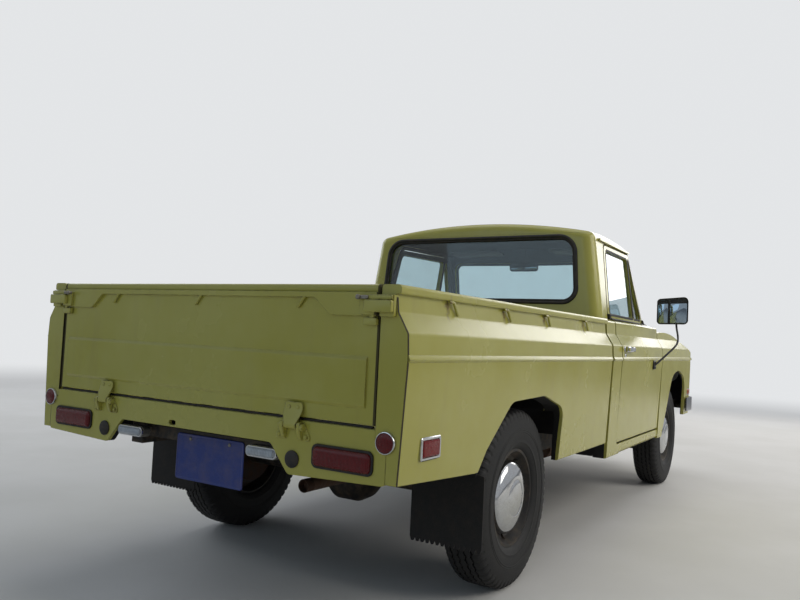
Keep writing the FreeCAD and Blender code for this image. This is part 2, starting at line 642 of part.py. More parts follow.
def dome(label, peak_x, peak_z, long_radius, cross_radius, drop):
    """Everything below a surface arched along and across, lowered by drop."""
    body = new_body(label)
    pivot = (peak_x, Dim.of(peak_z) - long_radius)
    outer = long_radius - drop
    round_centre = long_radius - cross_radius
    radius = cross_radius - drop
    side = Dim.of(900)
    sketch = body.newObject("Sketcher::SketchObject", f"{label}_sketch")
    sketch.AttachmentSupport = [(origin_plane(body, "YZ"), "")]
    sketch.MapMode = "FlatFace"
    bind(sketch, "AttachmentOffset.Base.y", pivot[1])
    bind(sketch, "AttachmentOffset.Base.z", pivot[0])
    edge = round_centre.value + math.sqrt(radius.value ** 2 - side.value ** 2)
    bottom = outer - 800
    V = FreeCAD.Vector
    arc = sketch.addGeometry(Part.Arc(V(-side.value, edge, 0), V(0, outer.value, 0),
                                      V(side.value, edge, 0)), False)
    first, last = (1, 2) if sketch.getPoint(arc, 1).x < 0 else (2, 1)
    right = sketch.addGeometry(Part.LineSegment(V(side.value, edge, 0),
                                                V(side.value, bottom.value, 0)), False)
    base = sketch.addGeometry(Part.LineSegment(V(side.value, bottom.value, 0),
                                               V(-side.value, bottom.value, 0)), False)
    left = sketch.addGeometry(Part.LineSegment(V(-side.value, bottom.value, 0),
                                               V(-side.value, edge, 0)), False)
    constrain = sketch.addConstraint
    constrain(Sketcher.Constraint("Coincident", arc, last, right, 1))
    constrain(Sketcher.Constraint("Coincident", right, 2, base, 1))
    constrain(Sketcher.Constraint("Coincident", base, 2, left, 1))
    constrain(Sketcher.Constraint("Coincident", left, 2, arc, first))
    constrain(Sketcher.Constraint("Vertical", right))
    constrain(Sketcher.Constraint("Vertical", left))
    constrain(Sketcher.Constraint("Horizontal", base))
    constrain(Sketcher.Constraint("PointOnObject", arc, 3, -2))
    bound = (("DistanceX", base, 1, side), ("DistanceX", base, 2, -side),
             ("DistanceY", base, 1, bottom))
    for kind, line, point, dim in bound:
        index = constrain(Sketcher.Constraint(kind, -1, 1, line, point, dim.value))
        sketch.setExpression(f"Constraints[{index}]", dim.text)
    index = constrain(Sketcher.Constraint("Radius", arc, radius.value))
    sketch.setExpression(f"Constraints[{index}]", radius.text)
    index = constrain(Sketcher.Constraint("DistanceY", -1, 1, arc, 3, round_centre.value))
    sketch.setExpression(f"Constraints[{index}]", round_centre.text)
    turn = body.newObject("PartDesign::Revolution", f"{label}_turn")
    turn.Profile = sketch
    turn.ReferenceAxis = (sketch, ["H_Axis"])
    turn.Angle = 50
    turn.Midplane = True
    return body


roof_x = x_cab_rear + 445
cab_outer_loft = greenhouse("cab_outer_loft", 0)
cab_inner_loft = greenhouse("cab_inner_loft", size.cab_wall)
roof_dome = dome("roof_dome", roof_x, size.roof_height, size.roof_long_radius,
                 size.roof_cross_radius, 0)
ceiling_dome = dome("ceiling_dome", roof_x, size.roof_height, size.roof_long_radius,
                    size.roof_cross_radius, size.roof_wall)
cab_sharp = common("cab_sharp", cab_outer_loft, roof_dome)
doc.recompute()
roof_edges = [number for number, edge in enumerate(cab_sharp.Shape.Edges, start=1)
              if edge.BoundBox.ZMin > size.drip_height.value]
cab_outer = doc.addObject("Part::Fillet", "cab_outer")
cab_outer.Base = cab_sharp
cab_outer.Edges = [(number, size.roof_edge.value, size.roof_edge.value) for number in roof_edges]
cab_inner = common("cab_inner", cab_inner_loft, ceiling_dome)
cab_shell = cut("cab_shell", cab_outer, cab_inner)

# Door openings. The door fills its outline; the opening around it is larger by the seam, and
# wider still behind the window frame, whose edge swings back a little as the door opens.
frame_top_front = size.drip_height + 10
frame_top_rear = size.drip_height - 4


def door_outline(gap):
    """Side outline of a door, grown by a gap."""
    rear, front = x_door_rear - gap, x_door_front + gap
    swing = 6 if gap else 0
    return [(rear, size.door_bottom - gap, 40), (front, size.door_bottom - gap, 20),
            (front, size.belt_height - 15 + gap, 6), (front - 62, size.belt_height + gap, 0),
            (front - 286 - gap, frame_top_front + gap, 30),
            (rear + 70 - swing, frame_top_rear + gap, 50), (rear + 6 - swing, size.belt_height, 0)]


def door_region(label, gap, low, high):
    return slab(label, "XZ", [door_outline(gap)], low, high)


opening_low = half_inner - 8
opening_cuts = [door_region(f"opening_{side_name}", size.seam, opening_low * side * 0.6,
                            (half_body + 40) * side) for side_name, side in SIDES]
opening_cut = group("door_openings", *opening_cuts)

floor_low = size.cab_floor_height - size.floor_thickness

# Rear panel of the cab with the rear window, and the corners that run round to the doors.
window_bottom, window_top = Dim.of(1127), Dim.of(1470)
REAR_WINDOW = [(-585, window_bottom, 70), (585, window_bottom, 70), (560, window_top, 90),
               (-560, window_top, 90)]
rear_region = slab("rear_region", "XZ", [rect(x_cab_rear - 20, x_door_rear + 80,
                                              size.glass_base_height - 5, 1700)],
                   -half_body, half_body)
rear_upper = common("rear_upper", cab_shell, rear_region)
rear_lower = slab("rear_lower", "YZ", [
    rect(-half_inner - 20, half_inner + 20, floor_low, size.belt_height)],
    x_cab_rear, x_cab_rear + size.cab_wall)
corners = []
for side_name, side in SIDES:
    corner = slab(f"cab_corner_{side_name}", "YZ", [side_outline(side, size.rocker_height, [
        (half_belt, size.belt_height - 15, 10), (half_inner, size.belt_height, 0),
        (half_inner, size.rocker_height, 0)])], x_cab_rear, x_door_rear + 60)
    corners.append(corner)
    ledge = slab(f"cab_ledge_{side_name}", "YZ", [
        rect((half_inner - 60) * side, half_inner * side, size.belt_height - 65,
             size.belt_height)], x_cab_rear, x_door_rear + 60)
    corners.append(ledge)
rear_window_cut = slab("rear_window_cut", "YZ", [REAR_WINDOW], x_cab_rear - 20,
                       x_cab_rear + 120)
rear_panel = fuse("rear_panel_joined", rear_upper, rear_lower, *corners)

# Roof: the shell above the drip line.
roof_region = slab("roof_region", "XZ", [[
    (x_cab_rear - 30, size.roof_seam_height, 0), (x_cab_rear + 70, size.roof_seam_height, 0),
    (x_cab_rear + 80, size.drip_height, 0), (x_door_front - 290, size.drip_height + 12, 0),
    (x_door_front - 240, size.drip_height, 0), (x_door_front, size.drip_height, 0),
    (x_door_front, 1700, 0), (x_cab_rear - 30, 1700, 0)]], -half_body, half_body)
drip_line = size.drip_height + 16
drip_region = slab("drip_region", "XZ", [[
    (x_cab_rear + 90, drip_line - 10, 0), (x_door_front - 300, drip_line, 0),
    (x_door_front - 300, drip_line + 11, 0), (x_cab_rear + 90, drip_line + 1, 0)]],
    -half_body, half_body)
drip_walls = group("drip_walls", *[
    side_wall(f"drip_wall_{side_name}", side, -size.drip_rail_reach, size.drip_rail_reach + 6)
    for side_name, side in SIDES])
roof_skin = cut("roof_skin", common("roof_cap", cab_shell, roof_region), opening_cut)
keep(fuse("cab_roof", roof_skin, common("drip_rails", drip_walls, drip_region)))
keep(cut("cab_rear_panel", rear_panel, rear_window_cut, roof_region, opening_cut))

# Front body master: the side outline and the arched hood surface, rounded in plan at the
# nose. Its shell is divided into fenders, cowl and hood.
hood_crest_x = x_hood_rear + 162
hood_top = dome("hood_top", hood_crest_x, size.hood_peak, size.hood_long_radius,
                size.hood_cross_radius, 0)
hood_under = dome("hood_under", hood_crest_x, size.hood_peak, size.hood_long_radius,
                  size.hood_cross_radius, size.hood_wall)


def front_block(label, inset, rear, front):
    outline = []
    for side in (1, -1):
        half = side_outline(side, 300, [(half_waist - 4, 1100, 0)])
        half = [(y - Dim.of(inset * side), z, 0) for y, z, r in half]
        outline += half if side == 1 else half[::-1]
    return slab(label, "YZ", [outline], rear, front)


plan = slab("nose_plan", "XY", [[(x_door_front - 60, -half_body, 0), (x_face, -half_body, 90),
                                 (x_face, half_body, 90), (x_door_front - 60, half_body, 0)]],
            290, 1110)
outer_block = common("front_outer_block", front_block("front_sides", 0, x_door_front - 60,
                                                      x_face), plan)
front_outer = common("front_outer", outer_block, hood_top)
inner_block = front_block("front_inner_sides", size.hood_wall, x_door_front - 70, x_face + 10)
front_inner = common("front_inner", inner_block, hood_under)
front_shell = cut("front_shell", front_outer, front_inner)

hood_region = slab("hood_region", "XY", [rect(x_hood_rear, x_hood_front, -size.hood_half,
                                              size.hood_half, 6)], 700, 1100)
keep(common("hood", front_shell, hood_region))
cowl_region = slab("cowl_region", "XY", [rect(x_door_front - 60, x_hood_rear - size.seam,
                                              -size.hood_half, size.hood_half)], 700, 1100)
cowl_top = common("cowl_top", front_shell, cowl_region)
firewall = slab("firewall", "YZ", [[
    (-size.hood_half, floor_low, 0), (-200, floor_low, 0), (-130, size.cab_floor_height + 112, 40),
    (130, size.cab_floor_height + 112, 40), (200, floor_low, 0), (size.hood_half, floor_low, 0),
    (size.hood_half, 1100, 0), (-size.hood_half, 1100, 0)]],
    x_door_front + 15, x_door_front + 35)
keep(fuse("cowl", cowl_top, common("firewall_trimmed", firewall, hood_under)))

arch_x = x_front_axle
fender_arch = [(arch_x - 385, 330, 0), (arch_x - 335, 420, 30), (arch_x - 150, size.arch_top + 35, 170),
               (arch_x + 50, size.arch_top + 65, 300), (arch_x + 285, size.arch_top + 10, 130),
               (arch_x + 320, size.bumper_height - 26, 0), (x_face + 20, size.bumper_height - 26, 0),
               (x_face + 20, 330, 0)]
for side_name, side in SIDES:
    region = slab(f"fender_region_{side_name}", "XY",
                  [rect(x_door_front + size.seam, x_hood_front + 10, (size.hood_half + size.seam) * side,
                        (half_body + 10) * side)], 355, 1100)
    arch = slab(f"fender_arch_{side_name}", "XZ", [fender_arch], 600 * side,
                (half_body + 10) * side)
    keep(cut(f"fender_{side_name}", common(f"fender_{side_name}_skin", front_shell, region), arch))

# Windshield frame: the shell ahead of the doors, standing on the cowl.
front_region = slab("front_region", "XZ", [[
    (x_door_front - 420, 1700, 0), (x_door_front - 420, 1400, 0), (x_door_front - 110, 900, 0),
    (x_door_front + 100, 900, 0), (x_door_front + 100, 1700, 0)]], -half_body, half_body)
WINDSHIELD = [(-624, 1062, 60), (624, 1062, 60), (570, 1436, 60), (-570, 1436, 60)]
windshield_cut = slab("windshield_cut", "YZ", [WINDSHIELD], x_door_front - 420,
                      x_door_front + 100)
keep(cut("windshield_frame", common("windshield_shell", cab_shell, front_region),
         windshield_cut, roof_region, opening_cut, front_outer))

# Floor pan with the transmission tunnel, toe board and box sills.
floor_half = half_inner - 8
floor_pan = slab("floor_pan", "YZ", [[
    (-floor_half, size.rocker_height, 8), (-floor_half, size.cab_floor_height, 0),
    (-170, size.cab_floor_height, 20), (-120, size.cab_floor_height + 110, 40),
    (120, size.cab_floor_height + 110, 40), (170, size.cab_floor_height, 20),
    (floor_half, size.cab_floor_height, 0), (floor_half, size.rocker_height, 8),
    (floor_half - 90, size.rocker_height, 8), (floor_half - 90, floor_low, 0),
    (155, floor_low, 10), (105, floor_low + 110, 30), (-105, floor_low + 110, 30),
    (-155, floor_low, 10), (-floor_half + 90, floor_low, 0),
    (-floor_half + 90, size.rocker_height, 8)]], x_cab_rear + size.cab_wall,
    x_door_front + 15)
seat_half = half_inner - 60
seat_x = x_cab_rear + size.seat_clearance
seat_bottom = size.cab_floor_height + size.seat_rise
for y_foot in (-seat_half + 60, -200, 200, seat_half - 60):
    for x_foot in (seat_x + 90, seat_x + 470):
        add_pad(floor_pan, "XY", [rect(x_foot - size.seat_foot_half, x_foot + size.seat_foot_half,
                                       Dim.of(y_foot) - size.seat_foot_half,
                                       Dim.of(y_foot) + size.seat_foot_half)],
                floor_low + 10, seat_bottom - hair)
rockers = [slab(f"rocker_{side_name}", "YZ", [[
    (half_skirt * side, size.rocker_height + 14, 0), (half_skirt * side, size.door_bottom - size.seam, 0),
    (floor_half * side, size.door_bottom - size.seam, 0), (floor_half * side, size.rocker_height, 0),
    ((half_skirt - 14) * side, size.rocker_height, 0)]],
    x_door_rear + 60, x_door_front + size.seam) for side_name, side in SIDES]
keep(fuse("cab_floor", floor_pan, *rockers))
seals = [slab(f"door_seal_{side_name}", "XZ", [rect(x_door_rear + 60, x_door_front - 20,
                                                    size.cab_floor_height - 26,
                                                    size.cab_floor_height - 8, 5)],
              floor_half * side, (half_inner - hair) * side) for side_name, side in SIDES]
keep(group("door_seals", *seals))

# Doors: a full-thickness lower door, a belt rail and the window frame of the glass house,
# with a drop window, a divider bar and a vent window.
sill_line = size.belt_height + 30
window_head = size.drip_height - 30
DROP_WINDOW = [(x_door_rear + 58, sill_line, 20), (x_door_front - 330, sill_line, 20),
               (x_door_front - 330, window_head + 8, 20), (x_door_rear + 104, window_head, 45)]
VENT_WINDOW = [(x_door_front - 306, sill_line, 12), (x_door_front - 122, sill_line, 20),
               (x_door_front - 288, window_head + 6, 3), (x_door_front - 306, window_head + 6, 3)]
glass_outer = greenhouse("glass_outer", size.glass_set)
glass_inner = greenhouse("glass_inner", size.glass_set + size.glass_thickness)
glass_shell = cut("glass_shell", glass_outer, glass_inner)
mirror_x = x_door_front - size.mirror_set_back
foot_z = size.waist_height - 159
door_fill = {}
for side_name, side in SIDES:
    panel = slab(f"door_panel_{side_name}", "YZ", [side_outline(side, size.door_bottom, [
        (half_belt, size.belt_height - 15, 10), (half_inner, size.belt_height, 0),
        (half_inner, size.door_bottom, 0)])], x_door_rear - 10, x_door_front + 10)
    fill = door_region(f"door_fill_{side_name}", 0, (half_inner - 100) * side,
                       (half_body + 10) * side)
    lower = common(f"door_lower_{side_name}", panel, fill)
    belt = slab(f"door_belt_{side_name}", "YZ", [
        rect((half_inner - 45) * side, half_inner * side, size.belt_height - 65,
             size.belt_height)], x_door_rear + 4, x_door_front - 110)
    frame_fill = slab(f"door_frame_fill_{side_name}", "XZ", [[
        (x_door_rear + 4, size.belt_height - 60, 0), (x_door_front - 110, size.belt_height - 60, 0),
        (x_door_front - 66, size.belt_height, 0), (x_door_front - 288, frame_top_front, 30),
        (x_door_rear + 70, frame_top_rear, 50), (x_door_rear + 6, size.belt_height, 0)]],
        (half_inner - 250) * side, half_body * side)
    frame = common(f"door_frame_{side_name}", frame_fill,
                   side_wall(f"door_wall_{side_name}", side, 0, size.cab_wall))
    windows = slab(f"door_windows_{side_name}", "XZ", [DROP_WINDOW, VENT_WINDOW],
                   (half_inner - 250) * side, half_body * side)
    handle_x, handle_z = x_door_rear + 40, size.shoulder_height - 16
    handle_out = half_body + size.door_handle_reach
    handle = slab(f"door_handle_{side_name}", "XZ", [
        rect(handle_x, handle_x + size.door_handle_length, handle_z - size.door_handle_half,
             handle_z + size.door_handle_half, size.door_handle_half - 1)],
        handle_out * side, (handle_out + size.door_handle_half) * side)
    for x in (handle_x + 14, handle_x + size.door_handle_length - 14):
        add_pad(handle, "XZ", [(x, handle_z, 8)], (half_body - 12) * side, (handle_out + 2) * side)
    door = cut(f"door_{side_name}", fuse(f"door_joined_{side_name}", lower, belt, frame, handle),
               windows)
    keep(door)
    pane = side_wall(f"door_pane_{side_name}", side, size.glass_set, size.glass_thickness)
    keep(common(f"door_glass_{side_name}", pane, windows))
    foot_y = half_body - hair
    arm = slab(f"mirror_foot_{side_name}", "XZ", [
        rect(mirror_x - 22, mirror_x + 22, foot_z - 22, foot_z + 22, 8)],
        foot_y * side, (foot_y + 6) * side)
    arm_bar = cylinder(f"mirror_arm_{side_name}", mirror_x,
                       (foot_y + size.mirror_arm_radius + weld) * side, foot_z + 3,
                       FreeCAD.Vector(148, 62 * side, 250), size.mirror_arm_radius,
                       size.mirror_arm_length)
    head = slab(f"mirror_head_{side_name}", "YZ", [
        rect(size.mirror_near * side, size.mirror_far * side, size.mirror_low, size.mirror_high, 24)],
        mirror_x + 140, mirror_x + 140 + size.mirror_depth)
    keep(fuse(f"mirror_{side_name}", arm, arm_bar, head))

keep(group("cab_glass", common("windshield_glass", glass_shell, windshield_cut),
           common("rear_glass", glass_shell, rear_window_cut)))

# Front panel with openings for the grille and the paired headlamps.
lamp_y = (Dim.of(468), Dim.of(632))
grille_outline = rect(-size.grille_half, size.grille_half, size.grille_low, size.grille_high, 10)
panel_holes = [grille_outline]
panel_holes += [(y * side, size.headlamp_height, size.headlamp_radius)
                for y in lamp_y for side in (1, -1)]
face = slab("front_face", "YZ", [rect(-half_body, half_body, 540, 960)] + panel_holes,
            x_hood_front + 10, x_face)
keep(common("front_panel", face, front_outer))

bar_count = 9
inner_half = size.grille_half - size.grille_rim
inner_low, inner_high = size.grille_low + size.grille_rim, size.grille_high - size.grille_rim
grille = slab("grille", "YZ", [
    grille_outline, rect(-inner_half, inner_half, inner_low, inner_high, 6)],
    x_face - 30, x_face + 4)
bar_pitch = (inner_high - inner_low) / (bar_count + 1)
for number in range(bar_count):
    height = inner_low + bar_pitch * (number + 1)
    add_pad(grille, "XZ", [rect(x_face - 24, x_face - 2, height - 3, height + 3)],
            -inner_half - weld, inner_half + weld)
for share in (-0.5, 0, 0.5):
    y = size.grille_half * share
    add_pad(grille, "XY", [rect(x_face - 26, x_face - 18, y - 4, y + 4)], inner_low - weld,
            inner_high + weld)
keep(grille)
headlamps = []
for side_name, side in SIDES:
    for number, y in enumerate(lamp_y):
        lamp = new_body(f"headlamp_{side_name}_{number}")
        bulge = size.headlamp_bulge
        sketch = new_sketch(lamp, "XY", size.headlamp_height, [[
            (-40, 0, 0), (-40, size.headlamp_radius, 0), (4, size.headlamp_radius, 0),
            (4, size.headlamp_radius - 12, 0), (bulge - 4, size.headlamp_radius - 34, 30),
            (bulge, 0, 0)]],
            (x_face - 12, y * side))
        turn = lamp.newObject("PartDesign::Revolution", f"headlamp_turn_{side_name}_{number}")
        turn.Profile = sketch
        turn.ReferenceAxis = (sketch, ["H_Axis"])
        turn.Angle = 360
        headlamps.append(lamp)
keep(group("headlamps", *headlamps))
turn_lamps = [slab(f"turn_lamp_{side_name}", "YZ", [
    rect(size.turn_near * side, size.turn_far * side, size.turn_low, size.turn_high, 10)],
    x_face, x_face + size.turn_reach) for side_name, side in SIDES]
keep(group("turn_lamps", *turn_lamps))

# Front bumper: a pressed bar whose ends wrap back to the wheel arches.
half_bumper = half_body + size.bumper_overlap
bumper_inner = half_bumper - size.bumper_wall
bumper_top = size.bumper_height + size.bumper_depth
wrap_x = x_bumper - size.bumper_wrap
bumper = slab("front_bumper", "XY", [[
    (wrap_x, half_bumper, 0), (x_bumper - 55, half_bumper, 70), (x_bumper, half_body - 190, 300),
    (x_bumper, -half_body + 190, 300), (x_bumper - 55, -half_bumper, 70), (wrap_x, -half_bumper, 0),
    (wrap_x, -bumper_inner, 0), (x_bumper - 68, -bumper_inner, 62),
    (x_bumper - 30, -half_body + 205, 250), (x_bumper - 30, half_body - 205, 250),
    (x_bumper - 68, bumper_inner, 62), (wrap_x, bumper_inner, 0)]],
    size.bumper_height, bumper_top)
for side in (1, -1):
    add_pad(bumper, "XY", [rect(x_face - 100, x_bumper - 20, (size.frame_half - 20) * side,
                                (size.frame_half + 20) * side)], size.bumper_height + 20,
            size.bumper_height + 60)
keep(bumper)

# Ladder frame: two rails that rise over the rear axle and drop under the cab, the members
# between them, the sills below the bed and the cab's mounting pads.
rail_low = size.frame_height
rail_high = floor_bottom - 10 - size.frame_depth
rail_front = rail_low + 62
RAIL_PATH = [(Dim.of(90), rail_high - 30, 0.75), (x_rear_axle - 380, rail_high - 30, 1),
             (x_rear_axle - 200, rail_high, 1), (x_bed_front - 350, rail_high, 1),
             (x_bed_front - 20, rail_low, 1), (x_front_axle - 460, rail_low, 1),
             (x_front_axle - 330, rail_front, 1), (x_front_axle + 180, rail_front, 1),
             (x_face - 100, rail_front + 55, 0.75)]
rail_outline = [(x, z, 0) for x, z, share in RAIL_PATH]
rail_outline += [(x, z + size.frame_depth * share, 0) for x, z, share in reversed(RAIL_PATH)]
rail_outer = size.frame_half + size.frame_width / 2
member_half = size.frame_half - size.frame_width / 2
rails = [slab(f"frame_rail_{side_name}", "XZ", [rail_outline], member_half * side,
              rail_outer * side) for side_name, side in SIDES]
keep(group("frame_rails", *rails))

# Members: rear face, length along the truck, lower and upper face.
MEMBERS = [(Dim.of(90), 130, rail_high, rail_high + 40),
           (x_rear_axle - 330, 60, rail_high - 5, rail_high + 50),
           (x_rear_axle + 520, 60, rail_high + 20, rail_high + 80),
           (x_cab_rear + 330, 60, rail_low + 7, rail_low + 57),
           (x_face - 160, 50, rail_front + 60, rail_front + 115)]
members = [slab(f"crossmember_{number}", "XZ", [rect(x, x + width, low, high)],
                -member_half, member_half)
           for number, (x, width, low, high) in enumerate(MEMBERS)]
cradle_top = rail_front + 30
cradle_wide = member_half + 58
members.append(slab("front_cradle", "YZ", [[
    (-cradle_wide, 215, 0), (cradle_wide, 215, 0), (cradle_wide, 280, 0),
    (member_half, rail_front - 1, 0), (member_half, cradle_top, 0), (-member_half, cradle_top, 0),
    (-member_half, rail_front - 1, 0), (-cradle_wide, 280, 0)]],
    x_front_axle - 60, x_front_axle + 60))
rail_top = rail_high + size.frame_depth
BED_SILLS = [(Dim.of(100), rail_high - 30 + size.frame_depth * 0.8, half_bed - 20),
             (x_rear_axle - 120, rail_top, rail_outer + 20),
             (x_rear_axle + 560, rail_top, half_bed - 20)]
for x, top, half in BED_SILLS:
    members.append(slab("bed_sill", "XZ", [rect(x, x + 70, top, floor_bottom - hair)], -half, half))
for side_name, side in SIDES:
    for x in (x_cab_rear + 120, x_door_front - 120):
        members.append(cylinder("cab_mount", x, size.frame_half * side, rail_low + size.frame_depth,
                                ALONG_Z, 26, floor_low - rail_low - size.frame_depth - hair))
keep(group("crossmembers", *members))

# Rear axle: tube, differential housing and hubs, on leaf springs.
axle_z = size.tyre_radius
hub_half = wheel_half - 8.3
axle = turned("rear_axle_tube", "YZ", (0, axle_z), x_rear_axle, [
    (-hub_half, 0, 0), (-hub_half, size.axle_hub_radius, 0),
    (-hub_half + size.hub_length, size.axle_hub_radius, 0),
    (-hub_half + size.hub_length, size.axle_tube_radius, 0), (-130, size.axle_tube_radius, 0),
    (-80, 95, 30), (-30, size.differential_radius, 20), (60, size.differential_radius, 20),
    (95, 95, 30), (140, size.axle_tube_radius, 0),
    (hub_half - size.hub_length, size.axle_tube_radius, 0),
    (hub_half - size.hub_length, size.axle_hub_radius, 0), (hub_half, size.axle_hub_radius, 0),
    (hub_half, 0, 0)])
pinion = cylinder("pinion_housing", x_rear_axle, 15, axle_z + 8, ALONG_X, 55, 220)
keep(fuse("rear_axle", axle, pinion))
gearbox_rear = x_front_axle - 870
gearbox_low, gearbox_high = rail_low + 62, rail_low + 202
shaft_run = (gearbox_rear - x_rear_axle - 220).value
shaft_rise = (gearbox_low + 70 - axle_z - 8).value
shaft_slope = math.atan2(shaft_rise, shaft_run)
shaft_end = 34 * math.sin(shaft_slope) + hair
keep(cylinder("driveshaft", x_rear_axle + 220 + shaft_end, 15, axle_z + 8,
              FreeCAD.Vector(shaft_run, 0, shaft_rise), 34,
              (shaft_run - 2 * shaft_end) / math.cos(shaft_slope)))
# Leaves of a spring, top leaf first: drop below the top leaf, half length, rise at the ends.
LEAVES = [(0, size.spring_half, 66), (12, 430, 38), (24, 300, 18), (36, 190, 7)]
springs = []
spring_seat = axle_z + size.axle_tube_radius + hair
for side_name, side in SIDES:
    near = (rail_outer + 8) * side
    far = (rail_outer + 66) * side
    spring = new_body(f"spring_{side_name}")
    for drop, reach, rise in LEAVES:
        low = spring_seat + 36 - drop
        add_pad(spring, "XZ", [[
            (x_rear_axle - reach, low + rise, 0), (x_rear_axle - 60, low, 0),
            (x_rear_axle + 60, low, 0), (x_rear_axle + reach, low + rise, 0),
            (x_rear_axle + reach, low + rise + size.leaf_thickness, 0),
            (x_rear_axle + 60, low + size.leaf_thickness + 0.2, 0),
            (x_rear_axle - 60, low + size.leaf_thickness + 0.2, 0),
            (x_rear_axle - reach, low + rise + size.leaf_thickness, 0)]], near, far)
    height = 108
    for end in (-size.spring_half, size.spring_half):
        add_pad(spring, "XZ", [(x_rear_axle + end, spring_seat + height, 20)], near, far)
        add_pad(spring, "XZ", [rect(x_rear_axle + end - 24, x_rear_axle + end + 24,
                                    spring_seat + height - 24, rail_high + 30, 8)],
                rail_outer * side, near + 1 * side)
    springs.append(spring)
keep(group("rear_springs", *springs))

# Front suspension arms: upper and lower, from the frame to the kingpin.
arms = []
king_low, king_high = Dim.of(240), rail_front + 40
for side_name, side in SIDES:
    for level, low, high, root in (("lower", king_low - 22, king_low, cradle_wide),
                                   ("upper", king_high, king_high + 18, rail_outer)):
        arms.append(slab(f"{level}_arm_{side_name}", "XY", [[
            (x_front_axle - 120, root * side, 0), (x_front_axle + 120, root * side, 0),
            (x_front_axle + 32, (size.kingpin_half + 8) * side, 20),
            (x_front_axle - 32, (size.kingpin_half + 8) * side, 20)]], low, high))
keep(group("front_arms", *arms))

# Steering knuckles: upright, kingpin bosses, spindle and steering arm.
for side_name, side in SIDES:
    upright = slab(f"knuckle_{side_name}", "XZ", [rect(x_front_axle - 32, x_front_axle + 32,
                                                       king_low + hair, king_high - hair, 14)],
                   (size.kingpin_half - 14) * side, (size.kingpin_half + 22) * side)
    add_pad(upright, "XZ", [(x_front_axle, axle_z, 28)], (size.kingpin_half + 20) * side,
            (wheel_half - 8.3) * side)
    add_pad(upright, "XY", [rect(x_front_axle - 150, x_front_axle - 20,
                                 (size.kingpin_half - 14) * side, (size.kingpin_half + 8) * side, 6)],
            270, 290)
    keep(upright)

# Wheels: tyre and pressed steel rim with a domed cap.
WHEEL_SLOTS = 10
tyre_half = size.tyre_width / 2
rim_half = size.rim_width / 2
slot_circle = size.rim_radius - 30


def across(side, section):
    """A wheel's section, given as outward offset, radius and corner radius, on one side."""
    return [((wheel_half + y) * side, r, c) for y, r, c in section]


for place, x in (("front", x_front_axle), ("rear", x_rear_axle)):
    for side_name, side in SIDES:
        keep(turned(f"tyre_{place}_{side_name}", "YZ", (0, axle_z), x, across(side, [
            (-rim_half + 4, size.rim_radius, 0), (-tyre_half, size.rim_radius + 44, 0),
            (-tyre_half, size.tyre_radius - 66, 0), (-tyre_half + 7, size.tyre_radius - 26, 0),
            (-tyre_half + 20, size.tyre_radius - 4, 0), (0, size.tyre_radius, 0),
            (tyre_half - 20, size.tyre_radius - 4, 0), (tyre_half - 7, size.tyre_radius - 26, 0),
            (tyre_half, size.tyre_radius - 66, 0), (tyre_half, size.rim_radius + 44, 0),
            (rim_half - 4, size.rim_radius, 0)])))
        wheel = turned(f"wheel_{place}_{side_name}", "YZ", (0, axle_z), x, across(side, [
            (-rim_half + 4, size.rim_radius, 0), (rim_half - 4, size.rim_radius, 0),
            (rim_half - 4, size.rim_radius - 10, 0), (rim_half - 18, size.rim_radius - 16, 0),
            (28, size.rim_radius - 26, 0), (22, size.hubcap_radius + 8, 0),
            (34, size.hubcap_radius, 0), (50, size.hubcap_radius - 3, 0),
            (64, size.hubcap_radius - 24, 60), (79, 0, 0), (-8, 0, 0), (-8, 118, 0), (-50, 122, 0),
            (-50, 132, 0), (4, 132, 0), (8, size.rim_radius - 34, 0),
            (6, size.rim_radius - 12, 0), (-rim_half + 4, size.rim_radius - 8, 0)]))
        slots = []
        for slot in range(WHEEL_SLOTS):
            angle = 2 * math.pi * (slot + 0.5) / WHEEL_SLOTS
            slots.append((slot_circle * math.cos(angle) + x, slot_circle * math.sin(angle) + axle_z,
                          size.slot_radius))
        add_pocket(wheel, "XZ", slots, (wheel_half - 10) * side, (wheel_half + 60) * side)
        keep(wheel)

# Under the body: tank, exhaust with its silencer, engine with gearbox, radiator and the
# panels of the engine bay.
keep(slab("fuel_tank", "XZ", [rect(x_rear_axle + 610, x_rear_axle + 960, size.tank_low,
                                   size.tank_high, 30)], 120, member_half - hair))
pipe_y = Dim.of(-250)
exhaust = piped("exhaust_pipe", "XZ", pipe_y, [
    (x_rear_axle - 640, 400, 0), (x_rear_axle - 330, 400, 120), (x_rear_axle - 200, 455, 120),
    (x_rear_axle + 200, 455, 120), (x_rear_axle + 420, 300, 120), (x_front_axle - 600, 300, 120),
    (x_front_axle - 330, 420, 120), (x_front_axle - 180, 420, 0)], size.pipe_radius)
silencer = cylinder("silencer", x_cab_rear + 480, pipe_y, 300, ALONG_X, size.silencer_radius,
                    size.silencer_length)
hanger = slab("exhaust_hanger", "XZ", [rect(x_cab_rear + 350, x_cab_rear + 366, 300,
                                            rail_low + 7 - hair)], pipe_y - 8, pipe_y + 8)
keep(fuse("exhaust", exhaust, silencer, hanger))
block = slab("engine_block", "YZ", [
    rect(-size.engine_half, size.engine_half, cradle_top + hair, size.engine_top)],
    x_front_axle - 400, x_front_axle + 200)
add_pad(block, "YZ", [rect(-80, 80, gearbox_low, gearbox_high, 30)], gearbox_rear,
        x_front_axle - 400)
block.Label = "engine"
keep(block)
support_x = x_face - 130
support_low = rail_front + 136
keep(slab("radiator", "YZ", [
    rect(-size.radiator_half, size.radiator_half, support_low, size.radiator_top)],
    support_x - 60, support_x))
bay_inner = size.bay_half - size.bay_wall
aprons = [slab(f"apron_{side_name}", "XZ", [
    rect(x_door_front + 35, support_x + 20, 545, size.bay_top)],
    bay_inner * side, size.bay_half * side) for side_name, side in SIDES]
core_half, core_high = size.radiator_half - 30, size.radiator_top - 20
